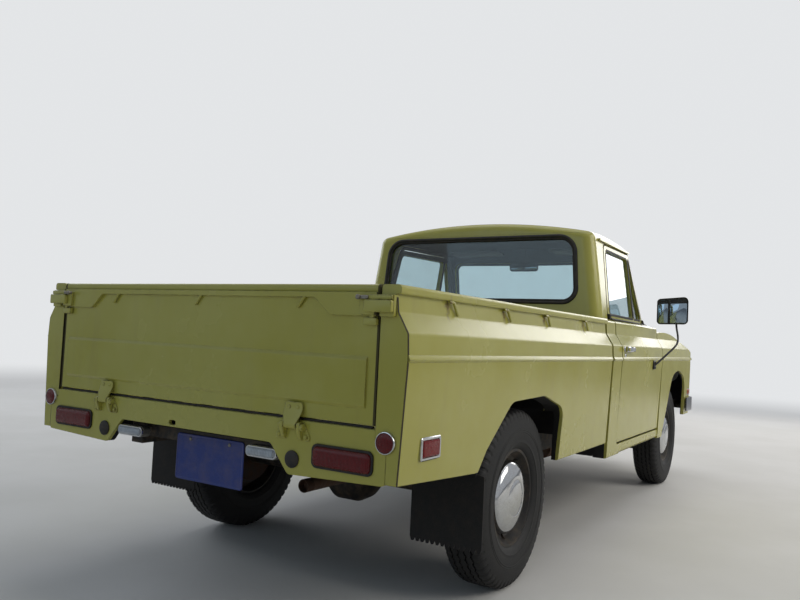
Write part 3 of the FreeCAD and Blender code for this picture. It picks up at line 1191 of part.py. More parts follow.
support = slab("radiator_support", "YZ", [
    rect(-bay_inner, bay_inner, support_low, size.bay_top),
    rect(-core_half, core_half, support_low + 20, core_high)], support_x, support_x + 20)
stop_top = dome("stop_top", hood_crest_x, size.hood_peak, size.hood_long_radius,
                size.hood_cross_radius, size.hood_wall + hair)
stops = [common(f"hood_stop_{side_name}", slab(f"hood_post_{side_name}", "XY", [
    (support_x + 10, 380 * side, 10)], size.bay_top - 12, size.hood_peak - 40), stop_top)
    for side_name, side in SIDES]
keep(fuse("engine_bay_panels", support, *aprons, *stops))

# Cabin: bench seat, dashboard, steering column and wheel, mirror.
seat_rear = seat_x + 60
seat_front = seat_rear + size.seat_length
back_low = seat_bottom + 126
back_high = back_low + size.seat_back_height
keep(slab("seat_cushion", "XZ", [[
    (seat_rear, seat_bottom, 30), (seat_front - 20, seat_bottom, 30),
    (seat_front, seat_bottom + 145, 45), (seat_rear + 10, seat_bottom + 115, 20)]],
    -seat_half, seat_half))
keep(slab("seat_back", "XZ", [[
    (seat_x + 30, back_low, 20), (seat_x + 170, back_low, 40),
    (seat_x + 98, back_high, 40), (seat_x + 8, back_high, 20)]], -seat_half, seat_half))
firewall_rear = x_door_front + 15 - hair
dash_rear = firewall_rear - size.dash_reach
keep(slab("dashboard", "XZ", [[
    (dash_rear, size.dash_low, 10), (firewall_rear, size.dash_low, 0),
    (firewall_rear, size.dash_high, 0), (x_door_front - 60, size.dash_high + 17, 0),
    (dash_rear - 25, size.dash_high + 7, 25)]], -half_inner + 20, half_inner - 20))
wheel_x, wheel_z = x_door_front - 345, size.steering_height
column_slope = math.radians(33)
column_way = FreeCAD.Vector(math.cos(column_slope), 0, -math.sin(column_slope))
column = cylinder("steering_column", wheel_x + 29, size.steering_offset,
                  wheel_z - 29 * math.tan(column_slope), column_way, size.column_radius,
                  (firewall_rear - wheel_x - 29 - size.column_radius * math.sin(column_slope))
                  / math.cos(column_slope))
keep(column)
ring = new_body("steering_ring")
ring_sketch = new_sketch(ring, "XZ", 0, [[
    (size.steering_wheel_radius + 12, 0, 0), (size.steering_wheel_radius + 6, 10, 0),
    (size.steering_wheel_radius - 6, 10, 0), (size.steering_wheel_radius - 12, 0, 0),
    (size.steering_wheel_radius - 6, -10, 0), (size.steering_wheel_radius + 6, -10, 0)]])
ring_turn = ring.newObject("PartDesign::Revolution", "steering_ring_turn")
ring_turn.Profile = ring_sketch
ring_turn.ReferenceAxis = (ring_sketch, ["V_Axis"])
ring_turn.Angle = 360
hub = doc.addObject("Part::Cylinder", "steering_hub")
bind(hub, "Radius", size.hub_radius)
hub.Height = 40
hub.Placement.Base.z = -6
spoke = doc.addObject("Part::Box", "steering_spoke")
bind(spoke, "Length", size.steering_wheel_radius * 2)
bind(spoke, "Width", size.spoke_width)
spoke.Height = 8
bind(spoke, "Placement.Base.x", -size.steering_wheel_radius)
bind(spoke, "Placement.Base.y", -size.spoke_width / 2)
steering = fuse("steering_wheel", ring, hub, spoke)
steering.Placement = FreeCAD.Placement(FreeCAD.Vector(0, 0, 0),
                                       FreeCAD.Rotation(FreeCAD.Vector(0, 0, 1), column_way))
STEERING = (wheel_x, size.steering_offset, wheel_z)
keep(steering)
stem_y, stem_x = Dim.of(35), x_door_front - 279
inside_mirror = slab("mirror_body", "YZ", [
    rect(stem_y - size.inside_mirror_half, stem_y + size.inside_mirror_half,
         size.inside_mirror_low, size.inside_mirror_high, 18)], stem_x - 11, stem_x + 11)
add_pad(inside_mirror, "XY", [(stem_x, stem_y, 6)], size.inside_mirror_high - 5, size.roof_height)
mirror_limit = dome("mirror_limit", roof_x, size.roof_height, size.roof_long_radius,
                    size.roof_cross_radius, size.roof_wall + hair)
keep(common("interior_mirror", inside_mirror, mirror_limit))
member_face = Dim.of(90)
keep(slab("licence_plate", "YZ", [
    rect(-size.plate_width / 2, size.plate_width / 2, size.plate_low,
         size.plate_low + size.plate_tall, 8)],
    member_face - hair - size.plate_wall, member_face - hair))

# Mudflaps: rubber sheets hung from the bed floor, with a row of teeth along the lower edge.
flap_x = x_rear_axle - 420
flap_outer = half_body - 5
flap_low = size.mudflap_height + 15
TEETH = 14
tooth_pitch = 19
flap_inner = flap_outer - tooth_pitch * TEETH
flaps = []
for side_name, side in SIDES:
    teeth = []
    for tooth in range(TEETH):
        y = flap_outer - tooth_pitch * tooth
        teeth += [((y - tooth_pitch * 0.3) * side, size.mudflap_height, 0),
                  ((y - tooth_pitch * 0.7) * side, size.mudflap_height, 0),
                  ((y - tooth_pitch) * side, flap_low, 0)]
    flaps.append(slab(f"mudflap_{side_name}", "YZ", [teeth[::-1] + [
        (flap_outer * side, flap_low, 0), (flap_outer * side, size.skirt_height + 37, 0),
        (half_sill * side, size.skirt_height + 45, 0), (half_sill * side, floor_bottom - 20, 0),
        ((half_bed - 2) * side, floor_bottom - 20, 0), ((half_bed - 2) * side, floor_bottom - hair, 0),
        (flap_inner * side, floor_bottom - hair, 0)]], flap_x, flap_x + size.mudflap_thickness))
keep(group("mudflaps", *flaps))
reversing = []
for side_name, side in SIDES:
    lamp = slab(f"backup_lamp_{side_name}", "YZ", [
        rect(size.backup_near * side, size.backup_far * side, size.backup_low, size.backup_high, 12)],
        12, 40)
    add_pad(lamp, "XY", [rect(40 - weld, member_face - hair, 285 * side, 315 * side)],
            size.backup_low + 10, size.backup_high - 10)
    reversing.append(lamp)
keep(group("backup_lamps", *reversing))

# Shift every finished piece from the drawing frame to the truck's own frame.
for node in NODES:
    base = STEERING if node is steering else (0, 0, 0)
    if node.TypeId == "Part::Cylinder":
        continue
    for axis, dim in zip("xyz", base):
        bind(node, f"Placement.Base.{axis}", Dim.of(dim) - (half_length - size.hinge_reach)
             if axis == "x" else dim)
for node in NODES:
    if node.TypeId == "Part::Cylinder":
        expression = dict(node.ExpressionEngine)[".Placement.Base.x"]
        node.setExpression("Placement.Base.x",
                           f"{expression} - {(half_length - size.hinge_reach).text}")

doc.recompute()
faults = [o.Label for o in doc.Objects if "Invalid" in o.State or "Error" in o.State]
if faults:
    raise SystemExit("failed objects: " + ", ".join(faults))
os.makedirs("parts", exist_ok=True)
for node in NODES:
    shape = node.Shape
    if shape.isNull() or not shape.isValid() or shape.Volume < 1:
        raise SystemExit("bad shape: " + node.Label)
for node in NODES:
    node.Shape.exportStep(f"parts/{node.Label}.step")
print(len(NODES), "pieces")
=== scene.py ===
import math
from collections import namedtuple

import bmesh
import bpy
import numpy as np
from mathutils import Matrix, Vector


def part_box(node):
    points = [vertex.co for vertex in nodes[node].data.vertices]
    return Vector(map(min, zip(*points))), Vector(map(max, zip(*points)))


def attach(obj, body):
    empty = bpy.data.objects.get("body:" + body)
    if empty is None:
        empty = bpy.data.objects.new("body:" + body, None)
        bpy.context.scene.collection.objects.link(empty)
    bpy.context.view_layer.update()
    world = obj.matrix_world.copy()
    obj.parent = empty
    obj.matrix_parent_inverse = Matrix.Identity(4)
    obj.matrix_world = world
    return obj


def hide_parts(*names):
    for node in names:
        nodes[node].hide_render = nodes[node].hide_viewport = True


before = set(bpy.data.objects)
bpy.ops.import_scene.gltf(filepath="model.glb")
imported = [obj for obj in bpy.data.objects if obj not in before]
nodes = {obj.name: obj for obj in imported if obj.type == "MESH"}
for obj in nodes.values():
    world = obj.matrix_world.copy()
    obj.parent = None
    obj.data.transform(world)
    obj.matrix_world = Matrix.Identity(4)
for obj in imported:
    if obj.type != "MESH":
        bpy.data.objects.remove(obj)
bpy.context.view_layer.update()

# Camera. The photograph was taken from behind the right rear corner, at waist height and a
# little tilted. The place and the turn are those of that view, in metres and radians.
def link(thing):
    """Puts an object into the scene and returns it."""
    bpy.context.scene.collection.objects.link(thing)
    return thing


EYE = Vector((-3.7162, -1.7645, 0.9044))
YAW, PITCH, ROLL = 0.5545, 0.0513, 0.0485
FOCAL_PIXELS, PHOTO_PIXELS, SENSOR_MM = 723.5, 800, 36
look = Vector((math.cos(PITCH) * math.cos(YAW), math.cos(PITCH) * math.sin(YAW),
               math.sin(PITCH)))
level = look.cross(Vector((0, 0, 1))).normalized()
above = level.cross(look)
right = math.cos(ROLL) * level + math.sin(ROLL) * above
up = math.cos(ROLL) * above - math.sin(ROLL) * level
camera = link(bpy.data.objects.new("camera", bpy.data.cameras.new("camera")))
camera.matrix_world = Matrix.Translation(EYE) @ Matrix((right, up, -look)).transposed().to_4x4()
camera.data.sensor_width = SENSOR_MM
camera.data.lens = SENSOR_MM * FOCAL_PIXELS / PHOTO_PIXELS
camera.data.clip_end = 300
bpy.context.scene.camera = camera


# Studio. A wide pale floor under the wheels and a pale surround, lit like a bright overcast day:
# a warm key high on the truck's right, soft fills on its left and ahead, a dim blue one behind
# and a wide one overhead.
def srgb(red, green, blue):
    """A colour given as 0 to 255 screen values, in linear light with full alpha."""
    values = np.array([red, green, blue]) / 255
    linear = np.where(values <= 0.04045, values / 12.92, ((values + 0.055) / 1.055) ** 2.4)
    return (*linear.tolist(), 1.0)


def shade(colour, factor):
    """A linear colour darkened by a factor."""
    return tuple(factor * c for c in colour[:3]) + (1.0,)


def feed(node, feeds):
    """Feeds a node's sockets by value or from a wire or socket."""
    for name, value in feeds.items():
        value = value.socket if isinstance(value, Wire) else value
        if isinstance(value, bpy.types.NodeSocket):
            node.id_data.links.new(value, node.inputs[name])
        else:
            node.inputs[name].default_value = value


def add(tree, kind, settings=(), feeds=()):
    """Adds a shader node, sets its options and feeds its sockets."""
    node = tree.nodes.new("ShaderNode" + kind)
    for name, value in dict(settings).items():
        setattr(node, name, value)
    feed(node, dict(feeds))
    return node


class Wire:
    """A value running through a node tree. Arithmetic and comparisons on it add maths nodes, so
    a mask reads like its formula."""

    def __init__(self, socket):
        self.socket, self.tree = socket, socket.id_data

    def maths(self, operation, other=0.0, swapped=False):
        """The result of a maths node on this wire and another value."""
        pair = (other, self) if swapped else (self, other)
        return Wire(add(self.tree, "Math", {"operation": operation}, dict(enumerate(pair)))
                    .outputs[0])

    def __add__(self, other):
        return self.maths("ADD", other)

    def __sub__(self, other):
        return self.maths("SUBTRACT", other)

    def __rsub__(self, other):
        return self.maths("SUBTRACT", other, swapped=True)

    def __mul__(self, other):
        return self.maths("MULTIPLY", other)

    def __lt__(self, other):
        return self.maths("LESS_THAN", other)

    def __gt__(self, other):
        return self.maths("GREATER_THAN", other)

    def __abs__(self):
        return self.maths("ABSOLUTE")

    def sign(self):
        """-1, 0 or 1."""
        return self.maths("SIGN")

    def or_more(self, other):
        """The larger of two values."""
        return self.maths("MAXIMUM", other)


def coordinates(tree, kind="Object"):
    """Object coordinates, or another output of the coordinate node."""
    return Wire(add(tree, "TexCoord").outputs[kind])


Axes = namedtuple("Axes", "x y z")


def axes(vector):
    """The three parts of a vector."""
    return Axes(*(Wire(s) for s in add(vector.tree, "SeparateXYZ", {}, {0: vector}).outputs))


def mix_colour(factor, first, second):
    """A colour between two, by a factor from 0 to 1."""
    tree = next(w.tree for w in (factor, first, second) if isinstance(w, Wire))
    return Wire(add(tree, "Mix", {"data_type": "RGBA"}, {0: factor, 6: first, 7: second})
                .outputs[2])


def noise(place, scale, detail=3.0, rough=0.55):
    """Fractal noise from 0 to 1, with a scale in waves per metre."""
    return Wire(add(place.tree, "TexNoise", {}, {
        "Vector": place, "Scale": scale, "Detail": detail, "Roughness": rough}).outputs["Fac"])


def ramp(value, low, high, out_low=0.0, out_high=1.0):
    """A value stretched from the range low..high to out_low..out_high, with soft ends."""
    return Wire(add(value.tree, "MapRange", {"interpolation_type": "SMOOTHSTEP"}, {
        "Value": value, "From Min": low, "From Max": high, "To Min": out_low,
        "To Max": out_high}).outputs["Result"])


def bump(height, strength, distance, **more):
    """A normal bent by a height, in metres of distance."""
    return add(height.tree, "Bump", {}, {"Strength": strength, "Distance": distance,
                                         "Height": height, **more}).outputs[0]


def blank_material(name):
    """A material with an empty node tree and its output node."""
    material = bpy.data.materials.new(name)
    material.use_nodes = True
    material.node_tree.nodes.clear()
    return material, material.node_tree, add(material.node_tree, "OutputMaterial")


def surface(output, feeds):
    """Feeds a Principled shader into a material's output."""
    shader = add(output.id_data, "BsdfPrincipled", {}, feeds)
    feed(output, {"Surface": shader.outputs[0]})


PALE, PALE_STRENGTH = srgb(236, 238, 240), 0.92
world = bpy.data.worlds.new("surround")
bpy.context.scene.world = world
world.use_nodes = True
sky = world.node_tree
sky.nodes.clear()
rays = add(sky, "LightPath").outputs
seen = Wire(rays["Is Transmission Ray"]).or_more(Wire(rays["Is Glossy Ray"]) * 0.45)
seen = Wire(rays["Is Camera Ray"]).or_more(seen)
dim = add(sky, "Background", {}, {"Color": srgb(214, 222, 236), "Strength": 0.26})
bright = add(sky, "Background", {}, {"Color": PALE, "Strength": PALE_STRENGTH})
sky_mix = add(sky, "MixShader", {}, {0: seen, 1: dim.outputs[0], 2: bright.outputs[0]})
add(sky, "OutputWorld", {}, {"Surface": sky_mix.outputs[0]})

FLOOR_REACH = 60.0
HAZE_START, HAZE_END = 3.5, 14.0
floor_mesh = bpy.data.meshes.new("floor")
floor_mesh.from_pydata([(x * FLOOR_REACH, y * FLOOR_REACH, 0)
                        for x, y in ((-1, -1), (1, -1), (1, 1), (-1, 1))], [], [(0, 1, 2, 3)])
floor = link(bpy.data.objects.new("floor", floor_mesh))
floor_material, tree, output = blank_material("floor")
place = coordinates(tree)
speckle = ramp(noise(place, 1.2, 4), 0.3, 0.7)
floor_shader = add(tree, "BsdfPrincipled", {}, {
    "Base Color": mix_colour(speckle, srgb(220, 218, 213), srgb(227, 225, 221)),
    "Roughness": 0.85})
far = Wire(add(tree, "VectorMath", {"operation": "LENGTH"}, {0: place}).outputs["Value"])
haze = ramp(far, HAZE_START, HAZE_END) * add(tree, "LightPath").outputs["Is Camera Ray"]
glow = add(tree, "Emission", {}, {"Color": PALE, "Strength": PALE_STRENGTH})
floor_mix = add(tree, "MixShader", {}, {0: haze, 1: floor_shader.outputs[0], 2: glow.outputs[0]})
feed(output, {"Surface": floor_mix.outputs[0]})
floor_mesh.materials.append(floor_material)

# Lamps: name, place, aim, width and height in metres, watts, colour.
LAMPS = [
    ("key", (1.5, -7.0, 5.0), (0.2, 0, 0.7), 6.0, 4.0, 240, (1.0, 0.97, 0.9)),
    ("rear_fill", (-7.5, 1.5, 3.2), (-1.5, 0, 0.7), 5.0, 3.0, 32, (0.55, 0.8, 1.0)),
    ("left_fill", (0.5, 7.0, 4.0), (0, 0, 0.7), 6.0, 4.0, 120, (0.9, 0.95, 1.0)),
    ("front_fill", (7.5, -1.0, 3.5), (1.5, 0, 0.7), 5.0, 3.0, 130, (1.0, 0.98, 0.95)),
    ("top", (0.6, 0, 6.5), (0.4, 0, 0), 7.0, 4.0, 95, (1.0, 1.0, 1.0)),
]
for name, spot, aim, wide, tall, watts, tint in LAMPS:
    lamp = bpy.data.objects.new(name, bpy.data.lights.new(name, "AREA"))
    lamp.data.shape = "RECTANGLE"
    lamp.data.size, lamp.data.size_y = wide, tall
    lamp.data.energy = watts
    lamp.data.color = tint
    lamp.location = spot
    lamp.rotation_euler = (Vector(aim) - Vector(spot)).to_track_quat("-Z", "Y").to_euler()
    lamp.visible_camera = False
    link(lamp)
bpy.context.scene.view_settings.view_transform = "Standard"


# Body paint. Pressed steel panels in a solid pale yellow-green enamel, forty years old: a little
# faded in broad patches, dusty low down, chipped to brown rust along the edges, black undercoat
# inside the arches and below the floor.
def node_group(name, inputs, outputs):
    """A shader node group with named sockets: its tree, its input wires and its output node."""
    tree = bpy.data.node_groups.new(name, "ShaderNodeTree")
    kinds = {float: "NodeSocketFloat", tuple: "NodeSocketColor"}
    for label, start in inputs.items():
        socket = tree.interface.new_socket(label, in_out="INPUT", socket_type=kinds[type(start)])
        socket.default_value = start
    for label, kind in outputs.items():
        tree.interface.new_socket(label, in_out="OUTPUT", socket_type=kinds[kind])
    ends = tree.nodes.new("NodeGroupOutput")
    given = tree.nodes.new("NodeGroupInput").outputs
    return tree, {label: Wire(given[label]) for label in inputs}, ends


# Enamel group: fades in broad patches, gathers dust towards the ground and chips at edges.
WEARING = {"Color": tuple, "Roughness": float, "Height": float}
enamel, give, ends = node_group(
    "aged_enamel",
    {"Paint": (0.5, 0.5, 0.5, 1), "Faded": (0.5, 0.5, 0.5, 1), "Rust": (0.1, 0.04, 0.02, 1),
     "Dust": (0.3, 0.25, 0.18, 1), "Dust Height": 0.45, "Edge": 0.0, "Chips": 0.5, "Gloss": 0.25},
    WEARING)
place = coordinates(enamel)
broad = ramp(noise(place, 2.6, 4, 0.6), 0.35, 0.68)
faded = mix_colour(broad * 0.5, give["Paint"], give["Faded"])
stretched = Wire(add(enamel, "Mapping", {}, {"Vector": place, "Scale": (9, 9, 0.9)}).outputs[0])
streaks = ramp(noise(stretched, 2.0, 4), 0.5, 0.8)
tinted = mix_colour(streaks * 0.12, faded, give["Dust"])
low = ramp(axes(place).z, 0.28, give["Dust Height"], 1.0, 0.0)
dust = low * ramp(noise(place, 14, 6, 0.65), 0.3, 0.75)
dusted = mix_colour(dust * 0.6, tinted, give["Dust"])
specks = ramp(noise(place, 95, 5, 0.7), 0.69, 0.72) * ramp(noise(place, 3.3, 2), 0.52, 0.64)
worn_edge = give["Edge"] * ramp(noise(place, 38, 5, 0.7), 0.46, 0.58)
chips = (specks * 0.7).or_more(worn_edge) * give["Chips"]
rusty = mix_colour(ramp(noise(place, 70, 3), 0.3, 0.7), give["Rust"], (0.03, 0.02, 0.014, 1))
feed(ends, {
    "Color": mix_colour(chips, dusted, rusty),
    "Roughness": (give["Gloss"] + broad * 0.08 + dust * 0.4).or_more(chips * 0.85),
    "Height": noise(place, 420, 2) * 0.1 + noise(place, 5, 2) * 1.8 - chips})

# Undercoat group, also used for painted shade: 1 on what lies further in than the outer skin of
# the body side and below a height, between two stations. The side leans out from the skirt to
# the crease, both given as height and half width.
SKIRT, CREASE = (0.433, 0.768), (0.845, 0.79)
undercoat_and_shade_group, give, ends = node_group(
    "undercoat_and_shade_mask", {"Top": 0.63, "Rear": -2.05, "Front": -0.15, "Skin": 0.012},
    {"Mask": float})
x, y, z = axes(coordinates(undercoat_and_shade_group))
inside = abs(y) < ramp(z, SKIRT[0], CREASE[0], SKIRT[1], CREASE[1]) - give["Skin"]
feed(ends, {"Mask": inside * (z < give["Top"]) * (x > give["Rear"]) * (x < give["Front"])})

PAINT, FADED = srgb(174, 169, 76), srgb(186, 183, 104)
DUST, RUST, RUST_DARK = srgb(138, 118, 92), srgb(84, 54, 34), srgb(34, 25, 18)
UNDERCOAT_AND_SHADE = srgb(20, 19, 18)
COAT = 0.16
RAIL_UNDERSIDE = 1.01


def enamel_material(name, chips=0.5, gloss=0.2, hidden=(), seam=None, edge_size=0.004, gap=None,
                    stains=()):
    """Painted steel with worn edges, found by how far a rounded normal turns away from the
    true one. hidden lists zones in the undercoat colour as (top, rear, front, skin): real
    undercoat on most parts, painted shade on the cab's back below the bed and on the sill under
    the tailgate. seam is the station of a rusty joint, gap the half width from where a lid's
    side edge is brown with rust, and stains lists the (station, height) of rust runs below
    fixings."""
    material, tree, output = blank_material(name)
    bevelled = add(tree, "Bevel", {"samples": 4}, {"Radius": edge_size}).outputs[0]
    facing = Wire(add(tree, "NewGeometry").outputs["Normal"])
    turned_away = Wire(add(tree, "VectorMath", {"operation": "DOT_PRODUCT"},
                           {0: bevelled, 1: facing}).outputs["Value"])
    place = coordinates(tree)
    x, y, z = axes(place)
    group = add(tree, "Group", {"node_tree": enamel}, {
        "Paint": PAINT, "Faded": FADED, "Dust": DUST, "Rust": RUST, "Dust Height": 0.42,
        "Edge": ramp(turned_away, 0.9, 0.99, 1.0, 0.0), "Chips": chips, "Gloss": gloss}).outputs
    marks = []
    if seam is not None:
        line = ramp(abs(x - seam), 0.0038, 0.0068, 0.95, 0.0)
        sideways = abs(axes(facing).y) > 0.5
        marks.append((line * sideways * (z < RAIL_UNDERSIDE), RUST_DARK))
    if gap is not None:
        marks.append((ramp(abs(y), gap - 0.004, gap - 0.0015) * 0.9, RUST_DARK))
    for station, top in stains:
        away = abs(x - station) + abs(z - top) * 0.6
        ragged = away + ramp(noise(place, 60, 4, 0.7), 0.3, 0.7, -0.009, 0.009)
        outer = ramp(abs(y), 0.735, 0.742)
        marks.append((ramp(ragged, 0.004, 0.026, 0.75, 0.0) * outer, RUST))
    for zone in hidden:
        values = dict(zip(("Top", "Rear", "Front", "Skin"), zone))
        mask = add(tree, "Group", {"node_tree": undercoat_and_shade_group}, values).outputs["Mask"]
        marks.append((Wire(mask), UNDERCOAT_AND_SHADE))
    colour, rough, coat = Wire(group["Color"]), Wire(group["Roughness"]), COAT
    for mask, tone in marks:
        colour = mix_colour(mask, colour, tone)
        rough = rough.or_more(mask * 0.85)
        coat = (1.0 - mask) * coat
    surface(output, {
        "Base Color": colour, "Roughness": rough, "Specular IOR Level": 0.38,
        "Normal": bump(Wire(group["Height"]), 0.22, 0.002, Normal=bevelled),
        "Coat Weight": coat, "Coat Roughness": 0.16})
    return material


def finish_nodes(material, *names):
    """Gives CAD nodes their finish."""
    for name in names:
        nodes[name].data.materials.clear()
        nodes[name].data.materials.append(material)


# The rear face of the body in this frame; pieces are placed in millimetres from it, and the
# front face of the headboard lies 1.95 m ahead of it.
rear_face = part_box("bed_headboard")[1][0] - 1.95


def at(points):
    """Points in millimetres, x from the rear face of the body, as metres in the frame."""
    return np.asarray(points, dtype=float) / 1000 + (rear_face, 0, 0)


def zone(top, rear, front, skin):
    """An undercoated zone with its rear and front counted from the rear face."""
    return top, rear_face + rear, rear_face + front, skin


# Top, rear and front of the engine bay and front arches; station and height of the rail's braces.
FRONT_BAY = (0.9, 0.9, 2.2)
BRACES = [(0.286, 1.0), (0.704, 0.998), (1.098, 1.0), (1.594, 0.996)]
outer_paint = enamel_material("outer_enamel")
finish_nodes(outer_paint, "hood")
finish_nodes(enamel_material("front_enamel", hidden=[(0.93, 0.7, 2.0, 0.02)]), "cowl",
             "front_panel")
finish_nodes(enamel_material("gate_enamel", chips=0.85, edge_size=0.003, gap=0.69), "tailgate")
bed_zones = [zone(0.653, 0.045, 1.94, 0.012), zone(0.712, 0.585, 1.295, 0.012),
             zone(0.4865, 0.478, 0.505, -0.05)]
finish_nodes(enamel_material("bed_enamel", hidden=bed_zones, seam=rear_face + 0.003,
                             stains=[(rear_face + x, z) for x, z in BRACES]),
             "bed_side_left", "bed_side_right")
finish_nodes(enamel_material("floor_enamel", chips=0.9, gloss=0.35,
                             hidden=[zone(0.64, 0.001, 1.98, 0.0)]), "bed_floor", "bed_headboard")
# The sill's top under the tailgate and its inner faces are darkened to the undercoat colour as
# painted shade, so the gap reads dark.
finish_nodes(enamel_material("sill_enamel", hidden=[zone(0.7, 0.012, 0.5, 0.0)]), "bed_rear_sill")
finish_nodes(enamel_material("fender_enamel", hidden=[(*FRONT_BAY, 0.012)]), "fender_left",
             "fender_right")


# Doors, cabin shell and wheel housings. The same enamel outside; towards the cabin the roof,
# the pillars and the window frames are painted dark grey as painted shade for the unlit cabin,
# the floor has a charcoal rubber mat and the doors dark vinyl, which also darkens the inner side
# of their window frames as painted shade, and the housings are undercoated on the side of the
# wheel.
def lined_material(name, lining_and_shade, where, roughness, weave, **paint):
    """Enamel, and a darker colour with a pressed grain on the part that where marks: a real
    lining, mat or undercoat on some parts, painted shade on others. where takes the axes of the
    object coordinates and of the object normal."""
    material = enamel_material(name, **paint)
    tree = material.node_tree
    shader = next(n for n in tree.nodes if n.type == "BSDF_PRINCIPLED")
    place = coordinates(tree)
    mask = where(axes(place), axes(coordinates(tree, "Normal")))
    colour, rough = (Wire(shader.inputs[label].links[0].from_socket)
                     for label in ("Base Color", "Roughness"))
    grain = ramp(noise(place, weave, 3), 0.35, 0.65)
    feed(shader, {
        "Base Color": mix_colour(mask, colour, mix_colour(grain, lining_and_shade, shade(lining_and_shade, 0.8))),
        "Roughness": rough.or_more(mask * roughness), "Coat Weight": COAT - mask * COAT})
    return material


def ceiling(spot, normal):
    """Marks what faces down inside the roof."""
    return (normal.z < -0.3) * (abs(spot.y) < 0.63)


def mat(spot, normal):
    """Marks the floor of the cabin between the sills."""
    return (abs(spot.y) < 0.7) * (spot.z > 0.46)


def door_inside(spot, normal):
    """Marks what faces the middle of the truck on a door."""
    return normal.y * spot.y.sign() < -0.5


def cabin_front(spot, normal):
    """Marks what faces back into the cabin on the windshield's frame."""
    return (normal.x < -0.25) * (spot.z > 0.9)


def cabin_rear(spot, normal):
    """Marks what faces forward into the cabin on the rear wall."""
    return (normal.x > 0.25) * (abs(spot.y) < 0.7)


HOUSE = (rear_face + 0.94, 0.6, 0.62)  # Middle of the left wheel housing.


def wheel_side(spot, normal):
    """Marks what faces the middle of a wheel housing."""
    reach = (spot.x - HOUSE[0], spot.y - spot.y.sign() * HOUSE[1], spot.z - HOUSE[2])
    along = [r * n for r, n in zip(reach, normal)]
    return along[0] + along[1] + along[2] < 0.0


# Dark grey painted shade inside the cabin: the inner side of the roof, the windshield's frame and
# the rear wall.
CABIN_SHADE = srgb(30, 33, 36)
finish_nodes(lined_material("roof_enamel", CABIN_SHADE, ceiling, 0.7, 260), "cab_roof")
finish_nodes(lined_material("frame_enamel", CABIN_SHADE, cabin_front, 0.7, 260), "windshield_frame")
# The cab's back below the bed floor is darkened to the undercoat colour as painted shade.
finish_nodes(lined_material("cab_enamel", CABIN_SHADE, cabin_rear, 0.7, 260,
                            hidden=[(0.66, -0.2, 0.5, 0.012)]), "cab_rear_panel")
finish_nodes(lined_material("cab_floor_enamel", srgb(40, 38, 37), mat, 0.8, 180,
                            hidden=[(0.446, -0.2, 1.2, 0.012)]), "cab_floor")
# The doors' vinyl colour also covers the inner side of their window frames, as painted shade.
finish_nodes(lined_material("door_enamel", srgb(52, 50, 47), door_inside, 0.5, 300),
             "door_left", "door_right")
finish_nodes(lined_material("house_enamel", UNDERCOAT_AND_SHADE, wheel_side, 0.9, 90, chips=0.9),
             "wheelhouses")
finish_nodes(enamel_material("bay_enamel", hidden=[(*FRONT_BAY, 0.0)]), "engine_bay_panels")


# Black and bare metal parts. Oiled chassis paint under road dust, rubber, moulded plastic,
# iron, pipe steel and chrome share one weathering group.
weather, give, ends = node_group(
    "weathered", {"Base": (0.1, 0.1, 0.1, 1), "Dust": (0.3, 0.25, 0.18, 1), "Amount": 0.3,
                  "Roughness": 0.5, "Scale": 30.0}, WEARING)
place = coordinates(weather)
fine = noise(place, 260, 4, 0.6)
dirt = ramp(noise(place, give["Scale"], 5, 0.62), 0.35, 0.75) * give["Amount"]
darker = mix_colour(0.6, give["Base"], (0, 0, 0, 1))
toned = mix_colour(ramp(fine, 0.3, 0.7, 0.0, 0.35), give["Base"], darker)
feed(ends, {"Color": mix_colour(dirt, toned, give["Dust"]), "Height": fine,
            "Roughness": give["Roughness"] + dirt * 0.5 + ramp(fine, 0.3, 0.7, -0.04, 0.06)})


def worn_material(name, base, roughness, amount=0.3, metallic=0.0, depth=0.15, scale=30.0,
                  dust=DUST, grain=0.0006, bevel=None):
    """A surface with patches of grime and a fine grain, both from the weathered group, and
    edges rounded by a bevel radius in metres where one is given."""
    material, tree, output = blank_material(name)
    more = {}
    if bevel:
        more["Normal"] = add(tree, "Bevel", {"samples": 4}, {"Radius": bevel}).outputs[0]
    group = add(tree, "Group", {"node_tree": weather}, {
        "Base": base, "Dust": dust, "Amount": amount, "Roughness": roughness,
        "Scale": scale}).outputs
    surface(output, {
        "Base Color": group["Color"], "Roughness": group["Roughness"], "Metallic": metallic,
        "Normal": bump(Wire(group["Height"]), depth, grain, **more)})
    return material


chassis_black = worn_material("chassis_black", srgb(30, 29, 28), 0.6, 0.35)
rubber = worn_material("rubber", srgb(22, 22, 22), 0.62, 0.12, depth=0.3)
plastic = worn_material("moulded_plastic", srgb(20, 20, 21), 0.38, 0.05, depth=0.25)
chrome = worn_material("chrome", srgb(206, 208, 210), 0.09, 0.1, metallic=1.0, depth=0.02,
                       scale=55.0)
zinc = worn_material("zinc", srgb(140, 138, 130), 0.45, 0.35, metallic=0.9)
finish_nodes(chassis_black, "frame_rails", "crossmembers", "rear_axle", "rear_springs",
             "front_arms", "knuckle_left", "knuckle_right", "driveshaft", "fuel_tank", "radiator")
finish_nodes(worn_material("pipe_steel", srgb(96, 78, 64), 0.6, 0.5, metallic=0.5,
                           dust=srgb(96, 58, 36)), "exhaust")
finish_nodes(worn_material("cast_iron", srgb(62, 60, 58), 0.6, 0.4, metallic=0.4), "engine")
finish_nodes(chrome, "front_bumper")
finish_nodes(plastic, "dashboard", "steering_wheel", "steering_column", "grille")
finish_nodes(rubber, "door_seals", "lamp_bezels")
# The mudflaps are blacker than the other rubber, partly as painted shade.
finish_nodes(worn_material("mudflap_rubber_and_shade", srgb(9, 9, 9), 0.75, 0.03, depth=0.4), "mudflaps")


